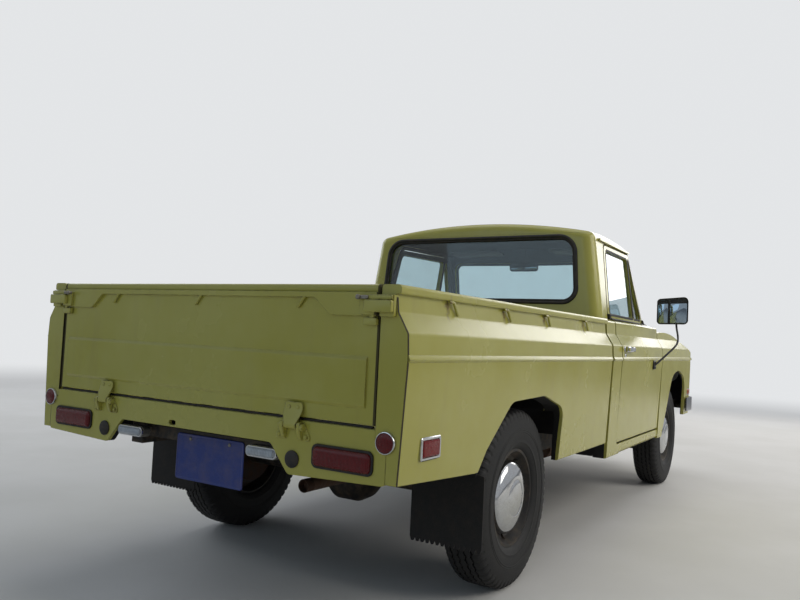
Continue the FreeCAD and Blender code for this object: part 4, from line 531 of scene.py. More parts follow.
# Tail lamps. Moulded red lenses with vertical flutes behind a black rubber frame, round
# reflectors and flank markers in chrome rings, all pressed in from outside.
def rounded(corners, steps=6):
    """Closed outline through (a, b, radius) corners: each corner is an arc of its radius whose
    centre lies on the bisector."""
    outline = []
    count = len(corners)
    for i, (a, b, radius) in enumerate(corners):
        spot = np.array([a, b], float)
        back = np.array(corners[i - 1][:2], float) - spot
        ahead = np.array(corners[(i + 1) % count][:2], float) - spot
        back, ahead = back / np.linalg.norm(back), ahead / np.linalg.norm(ahead)
        if radius == 0:
            outline.append(spot[None])
            continue
        half = math.acos(np.clip(back @ ahead, -1, 1)) / 2
        middle = (back + ahead) / np.linalg.norm(back + ahead)
        centre = spot + middle * radius / math.sin(half)
        share = np.linspace(0, 1, steps + 1)[:, None]
        rim = (spot + back * radius / math.tan(half)) * (1 - share)
        rim = rim + (spot + ahead * radius / math.tan(half)) * share - centre
        outline.append(centre + rim / np.linalg.norm(rim, axis=1)[:, None] * radius)
    return np.concatenate(outline)


def round_box(a_low, a_high, b_low, b_high, radius):
    """Outline of a box with round corners, between two limits on either axis."""
    a_low, a_high = sorted((a_low, a_high))
    return rounded([(a_low, b_low, radius), (a_high, b_low, radius), (a_high, b_high, radius),
                    (a_low, b_high, radius)])


def mirrored(corners, side):
    """An outline through (y, z, radius) corners drawn for the left side, on one side."""
    return rounded([(y * side, z, radius) for y, z, radius in corners][::side])


def shrunk(outline, inset):
    """An outline moved inwards by an inset along the mean of its two edge normals."""
    edge = np.roll(outline, -1, 0) - outline
    normal = np.stack([-edge[:, 1], edge[:, 0]], 1)
    normal /= np.maximum(np.linalg.norm(normal, axis=1), 1e-9)[:, None]
    mean = normal + np.roll(normal, 1, 0)
    mean /= np.maximum(np.linalg.norm(mean, axis=1), 1e-9)[:, None]
    area = np.sum(outline[:, 0] * np.roll(outline[:, 1], -1)
                  - np.roll(outline[:, 0], -1) * outline[:, 1])
    return outline + mean * inset * np.sign(area)


def stacked(outline, levels, plane="YZ", face=0.0, side=1):
    """A form built of rings: the outline at each (depth, inset) level along the plane's normal,
    depths counted from a face towards one side."""
    rings = []
    for depth, inset in levels:
        ring = shrunk(outline, inset)
        level = np.full(len(ring), face + depth * side, float)
        order = {"YZ": (level, ring[:, 0], ring[:, 1]), "XZ": (ring[:, 0], level, ring[:, 1]),
                 "XY": (ring[:, 0], ring[:, 1], level)}[plane]
        rings.append(np.stack(order, 1))
    return np.stack(rings)


def lathed(profile, centre, axis="x", steps=48, side=1):
    """A profile of (along, radius) points turned about an axis through centre; along points to
    one side."""
    along, radius = np.asarray(profile, float).T * ((side,), (1,))
    angle = np.linspace(0, 2 * math.pi, steps, endpoint=False)
    flat = np.stack([np.broadcast_to(along[:, None], (len(along), steps)),
                     radius[:, None] * np.cos(angle), radius[:, None] * np.sin(angle)], -1)
    order = {"x": (0, 1, 2), "y": (1, 0, 2), "z": (1, 2, 0)}[axis]
    return flat[..., order] + np.asarray(centre, float)


AXIS = 0.01  # Radius at which turned forms close, in millimetres.


def turned(profile, centre, axis="x", steps=48, side=1):
    """A solid of revolution: lathed from a profile with both ends closed to the axis."""
    ends = [[(along, AXIS)] if radius > AXIS else []
            for along, radius in (profile[0], profile[-1])]
    return lathed(ends[0] + profile + ends[1], centre, axis, steps, side)


def carried(path, section, up, closed=False):
    """A section of (side, lift) points carried along a path: at each point side is the path's
    direction crossed with up, and lift is square to both."""
    path, section = np.asarray(path, float), np.asarray(section, float)
    if closed:
        ahead = np.roll(path, -1, 0) - np.roll(path, 1, 0)
    else:
        ahead = np.gradient(path, axis=0)
    side = np.cross(ahead, np.broadcast_to(np.asarray(up, float), path.shape))
    side /= np.linalg.norm(side, axis=1)[:, None]
    lift = np.cross(side, ahead)
    lift /= np.linalg.norm(lift, axis=1)[:, None]
    return (path[:, None] + side[:, None] * section[None, :, :1]
            + lift[:, None] * section[None, :, 1:])


def grid_faces(rows, columns, along, around):
    """Four-sided faces of a grid of points, closed along or around where asked."""
    index = np.arange(rows * columns).reshape(rows, columns)
    index = np.concatenate([index, index[:1]]) if along else index
    index = np.concatenate([index, index[:, :1]], 1) if around else index
    return np.stack([index[:-1, :-1], index[1:, :-1], index[1:, 1:], index[:-1, 1:]],
                    -1).reshape(-1, 4)


def piece(name, grids, material, body="chassis", along=False, around=True, ends=True, crease=38):
    """A mesh piece on a body from one or more grids of points in millimetres. Doubles are
    merged, faces turned outwards and edges sharper than the crease angle kept sharp. A grid is
    closed along or around its rows where asked, and its end rows are capped."""
    grids = grids if isinstance(grids, list) else [grids]
    work = bmesh.new()
    for grid in grids:
        rows, columns = grid.shape[:2]
        made = bpy.data.meshes.new("part")
        faces = grid_faces(rows, columns, along, around).tolist()
        if ends and around and not along:
            first = np.arange(columns)
            faces += [first[::-1].tolist(), (first + (rows - 1) * columns).tolist()]
        made.from_pydata(at(grid.reshape(-1, 3)).tolist(), [], faces)
        work.from_mesh(made)
        bpy.data.meshes.remove(made)
    bmesh.ops.remove_doubles(work, verts=work.verts, dist=2e-6)
    bmesh.ops.dissolve_degenerate(work, edges=work.edges, dist=1e-7)
    bmesh.ops.recalc_face_normals(work, faces=work.faces)
    mesh = bpy.data.meshes.new(name)
    work.to_mesh(mesh)
    work.free()
    mesh.shade_smooth()
    mesh.set_sharp_from_angle(angle=math.radians(crease))
    mesh.materials.append(material)
    made = link(bpy.data.objects.new(name, mesh))
    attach(made, body)
    return made


def lens_material(name, colour, flute_axis, pitch, depth=0.6, gloss=0.5):
    """Moulded clear plastic over a reflector: glossy, with fine flutes of a pitch in
    millimetres across one axis and a darker, cloudy tone where it has aged."""
    material, tree, output = blank_material(name)
    place = coordinates(tree)
    across = getattr(axes(place), flute_axis)
    flute = (across * (2000 * math.pi / pitch)).maths("SINE")
    cloud = ramp(noise(place, 60, 4), 0.3, 0.75)
    deep = shade(colour, 0.3)
    tone = mix_colour(ramp(flute, -1.0, 1.0, 0.0, 0.45), colour, deep)
    surface(output, {
        "Base Color": mix_colour(cloud * 0.4, tone, deep), "Normal": bump(flute, depth, 0.001),
        "Roughness": ramp(cloud, 0.0, 1.0, 0.12, 0.3), "Specular IOR Level": gloss,
        "Coat Weight": 0.3 * gloss, "Coat Roughness": 0.04})
    return material


red_lens = lens_material("red_lens", srgb(112, 4, 14), "y", 4.5, depth=0.35, gloss=0.3)
marker_red = lens_material("marker_red", srgb(140, 8, 18), "x", 5.0, depth=0.35, gloss=0.3)
SIDES = (("left", 1), ("right", -1))
LENS = [(18, 0), (-5, 0), (-9, 1.2), (-12.2, 4.5), (-14, 9), (-14.6, 14)]
REFLECTOR = [(-0.4, 26.5), (-7, 26.5), (-9.5, 22), (-11, 12), (-11.5, AXIS)]
REFLECTOR_RING = [(-0.4, 26.7), (-0.4, 31), (-6, 31), (-8.8, 29.5), (-9.2, 27.6), (-8, 26.7)]
MARKER = [(-14, 0), (3, 0), (5.4, 1.6), (6.2, 4.4)]
MARKER_RIM = [(-6, 0), (1.5, 0), (3.5, 2.5), (3.5, 7.5), (1.0, 9.6), (-6, 9.6)]
FLANK_Y = 779.5
lens_forms, ring_forms, marker_forms, marker_rims, reflector_forms = [], [], [], [], []
for _, side in SIDES:
    lens_forms.append(stacked(round_box(499 * side, 693 * side, 535, 590, 15), LENS))
    reflector_at = (0, 736 * side, 624)
    reflector_forms.append(turned(REFLECTOR, reflector_at))
    ring_forms.append(lathed(REFLECTOR_RING, reflector_at))
    marker_forms.append(stacked(round_box(117, 211, 577, 622, 5), MARKER, "XZ", FLANK_Y * side,
                                side))
    marker_rims.append(stacked(round_box(107, 221, 567, 632, 8), MARKER_RIM, "XZ",
                               FLANK_Y * side, side))
lenses = piece("tail_lamp_lenses", lens_forms, red_lens)
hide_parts("tail_lamps")
piece("rear_reflectors", reflector_forms, red_lens)
piece("side_marker_lenses", marker_forms, marker_red)
piece("reflector_rings", ring_forms, chrome, along=True)
piece("side_marker_rims", marker_rims, chrome, along=True)

# Rubber plugs in the sill, domed discs pushed into holes beside the lamps.
plugs = [turned([(6, 21), (0, 21), (-1, 25), (-4, 25), (-8, 20), (-10.5, 11), (-11, AXIS)],
                (0, 421 * side, 542), steps=32) for _, side in SIDES]
piece("sill_plugs", plugs, rubber)

# Reversing lamps. Milky glass behind a thin chrome ring on a pressed steel housing.
milk_glass = lens_material("milk_glass", srgb(186, 194, 202), "y", 6.0, depth=0.3)
glass_forms, ring_forms = [], []
for _, side in SIDES:
    lamp = round_box(237 * side, 354 * side, 529.5, 560.5, 12)
    glass_forms.append(stacked(shrunk(lamp, 3), [(14, 0), (4, 0), (0, 1.6), (-3, 4.4),
                                                 (-4.2, 8.4)]))
    ring_forms.append(stacked(lamp, [(13, -1.2), (5, -1.2), (3.6, 0), (3.6, 3), (5, 4), (13, 4)]))
piece("reversing_lenses", glass_forms, milk_glass)
piece("reversing_rims", ring_forms, chrome, along=True)
finish_nodes(zinc, "backup_lamps")

# Licence plate. A blank blue plate of thin aluminium with a pressed rim, held by two screws
# through slots in its upper edge.
plate_blue = worn_material("plate_blue", srgb(22, 52, 132), 0.32, 0.22, depth=0.1, scale=14)
plate_x = (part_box("licence_plate")[0][0] - rear_face) * 1000
pressed = stacked(round_box(-152.5, 152.5, 397, 549, 10), [
    (3.2, 1), (0.4, 0), (-0.6, 0.6), (-1.4, 2), (-1.4, 4), (0.3, 6.5), (0.6, 9)], face=plate_x)
plate = piece("blank_plate", pressed, plate_blue)
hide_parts("licence_plate")
screws = [turned([(0.6, 6), (-1.4, 5.6), (-3, 3.4), (-3.4, AXIS)], (plate_x, y, 533), steps=20)
          for y in (-89, 89)]
piece("plate_screws", screws, zinc)

# Tailgate fittings. Pressed hinge leaves are riveted to the gate and rolled round their pins,
# with welded feet on the sill; at each upper corner a box latch reaches over to the post.
fitting_paint = enamel_material("fitting_enamel", chips=1.0, gloss=0.3, edge_size=0.005)
PIN_X, PIN_Z = -11, 640
CURL = 9.4
# The leaf runs down the gate and then rolls round the pin in an arc of the curl's radius.
turn = np.radians(np.linspace(155, 330, 12))
leaf_path = np.concatenate([
    [(-4, 705), (-4, 702), (-4, 697), (-4, 690), (-5, 684), (-9, 674), (-15, 660)],
    np.stack([PIN_X + CURL * np.cos(turn), PIN_Z + CURL * np.sin(turn)], 1)])
leaf_half = np.interp(leaf_path[:, 1], [628, 650, 666, 697, 702, 705], [22, 22, 33, 33, 30.5, 25])
leaf_section = [(-1, -1.2), (-1, 0.7), (-0.96, 1.4), (0.96, 1.4), (1, 0.7), (1, -1.2)]
FOOT = [(25, 598, 4), (62, 598, 6), (62, 612, 6), (38, 650, 6), (25, 650, 4)]
EAR = [(0, 600, 3), (-10, 600, 5), (-21, 628, 8), (-21, 650, 8), (-4, 650, 3)]
# Latch parts: near and far side, lower and upper edge, outer and inner face, corner radius.
LATCH = [(660, 748, 968, 1001, -29, -16, 5), (668, 746, 1002, 1015, -22, -16, 3),
         (650, 692, 933, 953, -11, 2, 4), (668, 684, 952, 970, -10, -4, 2)]
leaf_forms, foot_forms, latch_forms, lever_forms = [], [], [], []
for _, side in SIDES:
    middle = 420 * side
    path = np.stack([leaf_path[:, 0], np.full(len(leaf_path), middle), leaf_path[:, 1]], 1)
    across = np.cross(np.gradient(path, axis=0), (0, 1, 0))
    across /= np.linalg.norm(across, axis=1)[:, None]
    width, lift = np.array(leaf_section).T
    leaf = (path[:, None] + (0, 1, 0) * (leaf_half[:, None] * width)[..., None]
            + across[:, None] * lift[:, None])
    leaf_forms.append(leaf)
    for rivet_y in (-16, 16):
        leaf_forms.append(turned([(-4, 5), (-6.4, 4.6), (-7.8, 2.6), (-8.2, AXIS)],
                                 (0, middle + rivet_y, 691), steps=16))
    for way in (-1, 1):
        foot = mirrored(FOOT, way) + (middle, 0)
        foot_forms.append(stacked(foot, [(0.5, 0), (-2.6, 0), (-3.6, 1), (-3.6, 3.5)]))
        foot_forms.append(stacked(rounded(EAR), [(24.5, 1), (25.5, 0), (36.5, 0), (37.5, 1)],
                                  "XZ", middle, way))
        foot_forms.append(turned([(-3, 7), (-7.5, 7), (-8.6, 5.8)], (0, middle + 49 * way, 609),
                                 steps=6))
        foot_forms.append(turned([(37, 11), (44, 10.4), (46, 8)], (PIN_X, middle, PIN_Z - 4), "y",
                                 18, side=way))
    for near, far, low, high, outer, inner, radius in LATCH:
        plate = round_box(near * side, far * side, low, high, radius)
        latch_forms.append(stacked(plate, [(inner, 0), (outer + 2, 0), (outer + 0.5, 0.8),
                                           (outer, 2.4)]))
    lever = round_box(634 * side, 672 * side, 1003, 1013, 4)
    lever_forms.append(stacked(lever, [(-17, 0), (-26, 0), (-27.5, 1.5)]))
    lever_forms.append(turned([(-26, 7), (-31, 7), (-33, 5)], (0, 641 * side, 1008), steps=20))
piece("gate_hinge_leaves", leaf_forms, fitting_paint, "tailgate")
piece("sill_hinge_feet", foot_forms, fitting_paint)
piece("gate_latches", latch_forms, fitting_paint, "tailgate")
piece("latch_levers", lever_forms, zinc, "tailgate")

# Gap strip: black rubber along the sill under the tailgate, painted shade that darkens the gap.
strip = round_box(-686, 686, 655.2, 661.5, 2)
piece("gate_gap_shade_strip", stacked(strip, [(16, 0), (8, 0), (7, 1)]), rubber)

# Fuel filler on the left side: a painted cap with a finger grip and a chrome lock barrel.
cap_y, cap_x, cap_z = 791, 1720, 905
cap = turned([(-6, 46), (1.5, 46), (3, 44), (3, 30), (1, 27)], (cap_x, cap_y, cap_z), "y", 40)
piece("filler_cap", cap, fitting_paint)
barrel = turned([(0, 9), (4, 8.4), (4.6, 5), (4, AXIS)], (cap_x, cap_y, cap_z), "y", 20)
piece("filler_lock", barrel, chrome)


# Glass and its rubbers. Tinted panes in the doors, clear curved glass before and behind, each
# held by a black extruded rubber that laps over the pressed edge of its opening.
glass = bpy.data.materials.new("tinted_glass")
glass.use_nodes = True
film = ramp(noise(coordinates(glass.node_tree), 9, 5, 0.65), 0.45, 0.85)
feed(glass.node_tree.nodes["Principled BSDF"], {
    "Base Color": mix_colour(film * 0.25, (0.66, 0.78, 0.81, 1), (0.52, 0.56, 0.55, 1)),
    "Roughness": ramp(film, 0.2, 1.0, 0.0, 0.03), "Transmission Weight": 1.0, "IOR": 1.45})
finish_nodes(glass, "cab_glass", "door_glass_left", "door_glass_right")


# The glass house: half width, rear and front station at its base, each with its shift up to the
# top, and how much the half width tapers off towards the front.
BASE_Z, TOP_Z = 980.0, 1580.0
HALF_WIDTH, REAR_END, FRONT_END = (722, -84), (1983, 22), (3088, -280)
TAPER = 0.032
# The windshield in plan: straight wings swept back over a half width, an arc between them and
# corners bent round a radius near the pillars.
SWEEP, SWEEP_HALF, ARC, CORNER, CORNER_WIDE = 45, 650, 1500, 70, 66


def leaning(ends, z):
    """A line from its place at the base of the glass house, with its shift up to the top."""
    return ends[0] + ends[1] * (z - BASE_Z) / (TOP_Z - BASE_Z)


def house_side(x, z):
    """Half width of the glass house at a station and height."""
    return leaning(HALF_WIDTH, z) - (x - leaning(REAR_END, z)) * TAPER


def house_front(y, z):
    """Station of the windshield's skin: sweep * (1 - |y| / half) on the wings, the same less
    y^2 / (2 reach) where the arc runs, less d^2 / (2 corner) at d inside the corner."""
    front = leaning(FRONT_END, z)
    half = house_side(front, z)
    slope = SWEEP / half
    reach = ARC * math.tan(math.atan(SWEEP / SWEEP_HALF) / 2) * 2
    y = np.abs(y)
    middle = SWEEP - slope * (reach / 2 + y ** 2 / (2 * reach))
    corner = np.maximum(y - (half - CORNER_WIDE), 0) ** 2 / (2 * CORNER)
    return front + np.where(y < reach, middle, SWEEP - slope * y) - corner


RUBBER_LIP = [(-13, -6), (-13, 3), (-9, 6.5), (-3, 7.5), (2, 5.5), (4, 2), (4.5, 0.5), (7, 2.5),
              (11, 2), (14, -1), (14, -8)]
rear_line = rounded([(-585, 1127, 70), (585, 1127, 70), (560, 1470, 90), (-560, 1470, 90)], 10)
rear_path = np.stack([leaning(REAR_END, rear_line[:, 1]), rear_line[:, 0], rear_line[:, 1]], 1)
rear_lean = (BASE_Z - TOP_Z, 0, REAR_END[1])
front_lean = (TOP_Z - BASE_Z, 0, -FRONT_END[1])
piece("rear_window_rubber", carried(rear_path, RUBBER_LIP, rear_lean, closed=True), rubber,
      along=True, crease=50)
shield_line = rounded([(-624, 1062, 60), (624, 1062, 60), (570, 1436, 60), (-570, 1436, 60)], 10)
dense = np.concatenate([np.linspace(a, b, 12, endpoint=False)
                        for a, b in zip(shield_line, np.roll(shield_line, -1, 0))])
shield_path = np.stack([house_front(dense[:, 0], dense[:, 1]), dense[:, 0], dense[:, 1]], 1)
piece("windshield_rubber", carried(shield_path, RUBBER_LIP, front_lean, closed=True), rubber,
      along=True, crease=50)

# Door window rubbers: a felt-lined channel round the drop glass and a black frame with its own
# rubber round the vent pane, fixed to the door.
DROP = [(2198, 1080, 20), (2755, 1080, 20), (2755, 1432, 20), (2244, 1424, 45)]
VENT = [(2779, 1080, 12), (2963, 1080, 20), (2797, 1430, 3), (2779, 1430, 3)]
CHANNEL = np.array([(-9, -22), (-9, -4.5), (-6.5, -2.5), (0.5, -2.0), (2.5, 0.8), (-4, 1.6),
                    (-9.5, 0.8), (-11.5, -3), (-11.5, -22)])
for side_name, side in SIDES:
    for label, corners in (("drop", DROP), ("vent", VENT)):
        line = rounded(corners, 8)
        path = np.stack([line[:, 0], house_side(line[:, 0], line[:, 1]) * side, line[:, 1]], 1)
        channel = carried(path, CHANNEL * (side, 1), (TAPER, side, 0.14), closed=True)
        piece(f"{label}_window_rubber_{side_name}", channel, rubber, f"door_{side_name}",
              along=True, crease=50)

# Belt rubbers: a wiper strip pressed on the door along the foot of each window, and a small
# moulded block at the window's rear end.
for side_name, side in SIDES:
    belt_y = house_side(2480, 1052) * side
    strip = np.array([(2190, belt_y + 14 * side, 1056), (2975, belt_y - 8 * side, 1056)])
    section = np.array([(-6, -6), (-6, -1), (-3, 2.5), (2, 3), (4, 0), (4, -6)]) * (side, 1)
    piece(f"belt_rubber_{side_name}", carried(strip, section, (0, 0, 1)), rubber,
          f"door_{side_name}")
    block = stacked(round_box(2143, 2170, 1050, 1078, 5), [(-6, 0), (9, 0), (13, 4)], "XZ",
                    house_side(2152, 1060) * side, side)
    piece(f"window_block_{side_name}", block, rubber, f"door_{side_name}")

# Crease bead. A ridge pressed along the widest line of the body, in short lengths on the bed,
# the cab, the doors and the fenders; its upper face catches the light as one bright line.
CREASE_Y, CREASE_Z = 790, 845
BEAD = [(-3, -7), (0.2, -7), (4.6, -2.4), (6, 0.4), (5.6, 2.2), (-0.4, 13.5), (-3, 13.5)]
for side_name, side in SIDES:
    section = [(-side * out, lift) for out, lift in BEAD][::-side]
    for label, rear, front, body in (("bed", 3, 1947, "chassis"), ("cab", 1979, 2133, "chassis"),
                                     ("door", 2149, 3074, f"door_{side_name}"),
                                     ("fender", 3094, 4058, "chassis")):
        line = [(x, CREASE_Y * side, CREASE_Z) for x in np.linspace(rear, front, 24)]
        piece(f"{label}_bead_{side_name}", carried(line, section, (0, 0, 1)), outer_paint, body)


# Door handles and locks. A chromed pull on two feet with a round push button at its front end,
# and a lock barrel below.
DOOR_SKIN, HANDLE_Z, LOCK_Z = 786.5, 899, 866
PULL_PATH = np.array([(2176, 14), (2190, 20), (2245, 24.5), (2300, 23), (2318, 16)])
PULL = np.array([(-6.75, -13), (-6.75, 11), (-2.7, 13.5), (1.8, 13.5), (6.75, 9), (6.75, -9),
                 (1.8, -14), (-3.6, -14)])
# Turned parts of a handle: profile out from the skin, station, height, steps.
FOOT_PROFILE = [(-6, 15), (1.5, 14), (6, 10), (20, 9)]
HANDLE = [(FOOT_PROFILE, 2192, HANDLE_Z, 20), (FOOT_PROFILE, 2304, HANDLE_Z, 20),
          ([(-4, 12), (8, 12), (11, 9), (12, AXIS)], 2342, HANDLE_Z, 24),
          ([(-4, 11), (2, 11), (4.5, 8.5), (3, 6)], 2202, LOCK_Z, 24)]
for side_name, side in SIDES:
    skin = DOOR_SKIN * side
    pull_path = [(x, skin + out * side, HANDLE_Z) for x, out in PULL_PATH]
    forms = [carried(pull_path, PULL, (0, 0, 1))]
    forms += [turned(profile, (x, skin, z), "y", steps, side) for profile, x, z, steps in HANDLE]
    piece(f"door_handle_{side_name}", forms, chrome, f"door_{side_name}")

# Door mirrors. A bent black rod on a bolted foot carries a deep black shell; its glass faces
# back in two panes, a flat one and a wider one, divided by a bar. A black rubber cover closes
# the foot of the windshield's pillar.
mirror_glass = worn_material("mirror_glass", srgb(168, 186, 200), 0.03, 0.05, metallic=1.0,
                             depth=0.0)
angle = np.linspace(0, 2 * math.pi, 12, endpoint=False)
CIRCLE = np.stack([np.cos(angle), np.sin(angle)], 1)
ARM = [(2852, 792, 812), (2858, 802, 818), (2912, 852, 880), (2966, 898, 940), (2996, 896, 985),
       (3006, 882, 1045), (3008, 878, 1100)]
ARM_RADIUS = 6
MIRROR_SHELL = [(768, 1060, 22), (950, 1064, 26), (950, 1232, 26), (768, 1216, 22)]
PANES = [[(776, 1069, 14), (832, 1070, 3), (832, 1188, 3), (776, 1184, 6)],
         [(846, 1071, 3), (942, 1072, 18), (942, 1192, 6), (846, 1188, 3)]]
PILLAR_COVER = [(2985, 1046, 6), (3040, 1040, 8), (3024, 1064, 8), (2988, 1086, 6)]
for side_name, side in SIDES:
    # The arm's bends are rounded by six passes of (1, 2, 1) / 4 over its points.
    arm = np.array(ARM) * (1, side, 1)
    share = np.linspace(0, len(arm) - 1, 40)
    smooth = np.stack([np.interp(share, range(len(arm)), arm[:, k]) for k in range(3)], 1)
    for _ in range(6):
        smooth[1:-1] = (smooth[:-2] + 2 * smooth[1:-1] + smooth[2:]) / 4
    forms = [carried(smooth, CIRCLE * ARM_RADIUS, (1, 0, 0.3))]
    forms.append(stacked(round_box(2828, 2876, 786, 838, 12),
                         [(785, 0), (794, 0), (798, 4), (798, 10)], "XZ", side=side))
    for bolt_z in (796, 828):
        forms.append(turned([(797, 6), (801, 6), (802, 5)], (2852, 0, bolt_z), "y", 6, side=side))
    forms.append(stacked(mirrored(MIRROR_SHELL, side), [
        (2996, 7), (2990, 0), (2993, 0), (3012, 3), (3024, 11), (3028, 20)]))
    forms.append(stacked(round_box(833 * side, 845 * side, 1066, 1222, 3),
                         [(2997, 0), (2991, 0), (2990, 1)]))
    mirror = piece(f"door_mirror_{side_name}", forms, plastic, f"door_{side_name}")
    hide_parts(f"mirror_{side_name}")
    panes = [stacked(mirrored(pane, side), [(2996, 0), (2992.5, 0), (2992, 1)])
             for pane in PANES]
    piece(f"door_mirror_glass_{side_name}", panes, mirror_glass, f"door_{side_name}")
    cover = stacked(rounded(PILLAR_COVER), [(-16, 0), (4, 0), (8, 4)], "XZ",
                    house_side(3010, 1052) * side, side)
    piece(f"pillar_cover_{side_name}", cover, rubber)

# Front lamps. Four sealed beams with fluted glass in chrome rings, amber turn lamps with
# fluted lenses, and amber markers on the flanks of the fenders.
beam_glass = lens_material("beam_glass", srgb(206, 210, 212), "y", 9.0, depth=0.7)
amber_lens = lens_material("amber_lens", srgb(222, 112, 18), "y", 5.0)
finish_nodes(beam_glass, "headlamps")
finish_nodes(amber_lens, "turn_lamps")
face_x = (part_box("front_panel")[1][0] - rear_face) * 1000
rings, turn_rims, marker_forms, marker_rims = [], [], [], []
for _, side in SIDES:
    for lamp_y in (468, 632):
        rings.append(lathed([(-14, 73), (-3, 84), (1.5, 84), (5, 80), (4, 70), (-7, 66)],
                            (face_x, lamp_y * side, 742), steps=64))
    turn_rims.append(stacked(round_box(424 * side, 646 * side, 584, 638, 14), [
        (-2, 0), (9, 0), (11, 2), (11, 4.5), (8, 6.5), (-2, 6.5)], face=face_x))
    marker_forms.append(stacked(round_box(3985, 4065, 592, 628, 6), [
        (770, 0), (781, 0), (784, 3), (784.5, 8)], "XZ", side=side))
    marker_rims.append(stacked(round_box(3978, 4072, 585, 635, 8), [
        (770, 0), (780, 0), (782, 2), (782, 5), (779, 7), (770, 7)], "XZ", side=side))
piece("headlamp_rings", rings, chrome, along=True)
piece("turn_lamp_rims", turn_rims, chrome, along=True)
piece("front_marker_lenses", marker_forms, amber_lens)
piece("front_marker_rims", marker_rims, chrome, along=True)

# Grille surround: a polished aluminium strip round the black plastic grille.
surround = stacked(round_box(-386, 386, 634, 834, 14), [
    (-2, 0), (3, 0), (5, 2), (5, 8), (3, 10), (-2, 10)], face=face_x)
piece("grille_surround", surround, chrome, along=True)

# Wipers. Two steel arms in black paint pivot on the cowl, and their rubber blades lie along the
# foot of the windshield, 4.5 mm off its skin.
for number, pivot_y in enumerate((-300, 260)):
    z = np.array([1052, 1066, 1086, 1102])
    y = pivot_y + np.array([0, 60, 180, 300]) * 1.0
    off = np.array([10, 14, 15, 12])
    arm = np.stack([house_front(y, z) + off, y, z], 1)
    bar = [(-4, -2), (-4, 2), (4, 2), (4, -2)]
    knob = turned([(1030, 14), (1058, 12), (1064, 8)], (arm[0][0], pivot_y, 0), "z", 20)
    blade_y = pivot_y + np.linspace(40, 460, 12)
    blade_z = 1094 + np.linspace(-12, 20, 12)
    blade = np.stack([house_front(blade_y, blade_z) + 4.5, blade_y, blade_z], 1)
    lip = [(-3, -4), (-3, 4), (3, 5), (3, -4)]
    forms = [carried(arm, bar, (1, 0, 0)), knob, carried(blade, lip, (1, 0, 0))]
    piece(f"wiper_{number}", forms, plastic)

# Door opening seals. A rubber seal on the flange of each opening closes the gap from inside, set
# back behind the window frame and the door's own turned edge. Below the waist it stands upright
# at 690 mm; above, it follows the glass house 46 mm inside its skin.
DOOR_LINE = [(2132, 409, 48), (3093, 409, 28), (3093, 1043, 6), (3031, 1058, 4),
             (2791, 1472, 30), (2198, 1458, 50), (2134, 1050, 4)]
for side_name, side in SIDES:
    line = shrunk(rounded(DOOR_LINE, 8), -3)
    upper = np.clip((line[:, 1] - 1040) / 30, 0, 1)
    depth = upper * (house_side(line[:, 0], line[:, 1]) - 46) + (1 - upper) * 690
    path = np.stack([line[:, 0], depth * side, line[:, 1]], 1)
    section = np.array([(-12, -3), (-12, 3), (4, 5), (9, 2), (9, -2), (4, -5)]) * (side, 1)
    piece(f"door_opening_seal_{side_name}", carried(path, section, (0, side, 0), closed=True),
          rubber, along=True, crease=60)

# Cabin. A vinyl dashboard with two round dials in a hooded box, a glove box, a radio plate and
# air vents, pressed and screwed together; dial faces have plain ticks and no figures.
dash_x = (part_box("dashboard")[0][0] - rear_face) * 1000
white_paint = worn_material("white_marks", srgb(214, 214, 206), 0.5, 0.05, depth=0.0)
dial_black = worn_material("dial_black", srgb(14, 14, 15), 0.3, 0.02, depth=0.0)
trim_forms, mark_forms, face_forms, bezel_forms, metal_forms = [], [], [], [], []
hood_box = round_box(195, 485, 884, 985, 16)
trim_forms.append(stacked(hood_box, [(40, 0), (-30, 0), (-33, 2), (-33, 6), (-30, 8), (-8, 9)],
                          face=dash_x))
DIAL_Z = 934
for number, dial_y in enumerate((275, 405)):
    centre = (dash_x, dial_y, DIAL_Z)
    face_forms.append(turned([(-6, 44), (-10, 44)], centre, steps=48))
    bezel_forms.append(lathed([(-9, 43), (-16, 44), (-19, 47), (-17, 50), (-9, 50)], centre,
                              steps=48))
    for tick in range(11):
        angle = math.radians(-130 + 26 * tick)
        low, high = (31, 40) if tick % 2 == 0 else (35, 40)
        across = np.array([math.cos(angle), -math.sin(angle)])
        along = np.array([math.sin(angle), math.cos(angle)])
        corners = np.array([along * low - across, along * high - across, along * high + across,
                            along * low + across]) + (dial_y, DIAL_Z)
        mark_forms.append(stacked(corners, [(-9.8, 0), (-10.4, 0)], face=dash_x))
    angle = math.radians(-112 + 60 * number)
    tip = np.array([math.sin(angle), math.cos(angle)])
    wide = np.array([math.cos(angle), -math.sin(angle)])
    needle = np.array([-tip * 8 - wide * 1.6, tip * 37 - wide * 0.4, tip * 37 + wide * 0.4,
                       -tip * 8 + wide * 1.6]) + (dial_y, DIAL_Z)
    mark_forms.append(stacked(needle, [(-10.8, 0), (-12, 0)], face=dash_x))
glove = round_box(-560, -240, 888, 952, 8)
trim_forms.append(stacked(glove, [(20, 0), (-13, 0), (-15, 1.5), (-15.4, 5)], face=dash_x))
metal_forms.append(turned([(-12, 9), (-20, 9), (-22, 7)], (dash_x, -400, 938), steps=24))
radio = round_box(-100, 90, 896, 948, 5)
metal_forms.append(stacked(radio, [(10, 0), (-12, 0), (-14, 1.5)], face=dash_x))
for knob_y in (-82, -40, 30, 72):
    trim_forms.append(turned([(-12, 10), (-28, 9), (-30, 7)], (dash_x, knob_y, 908), steps=20))
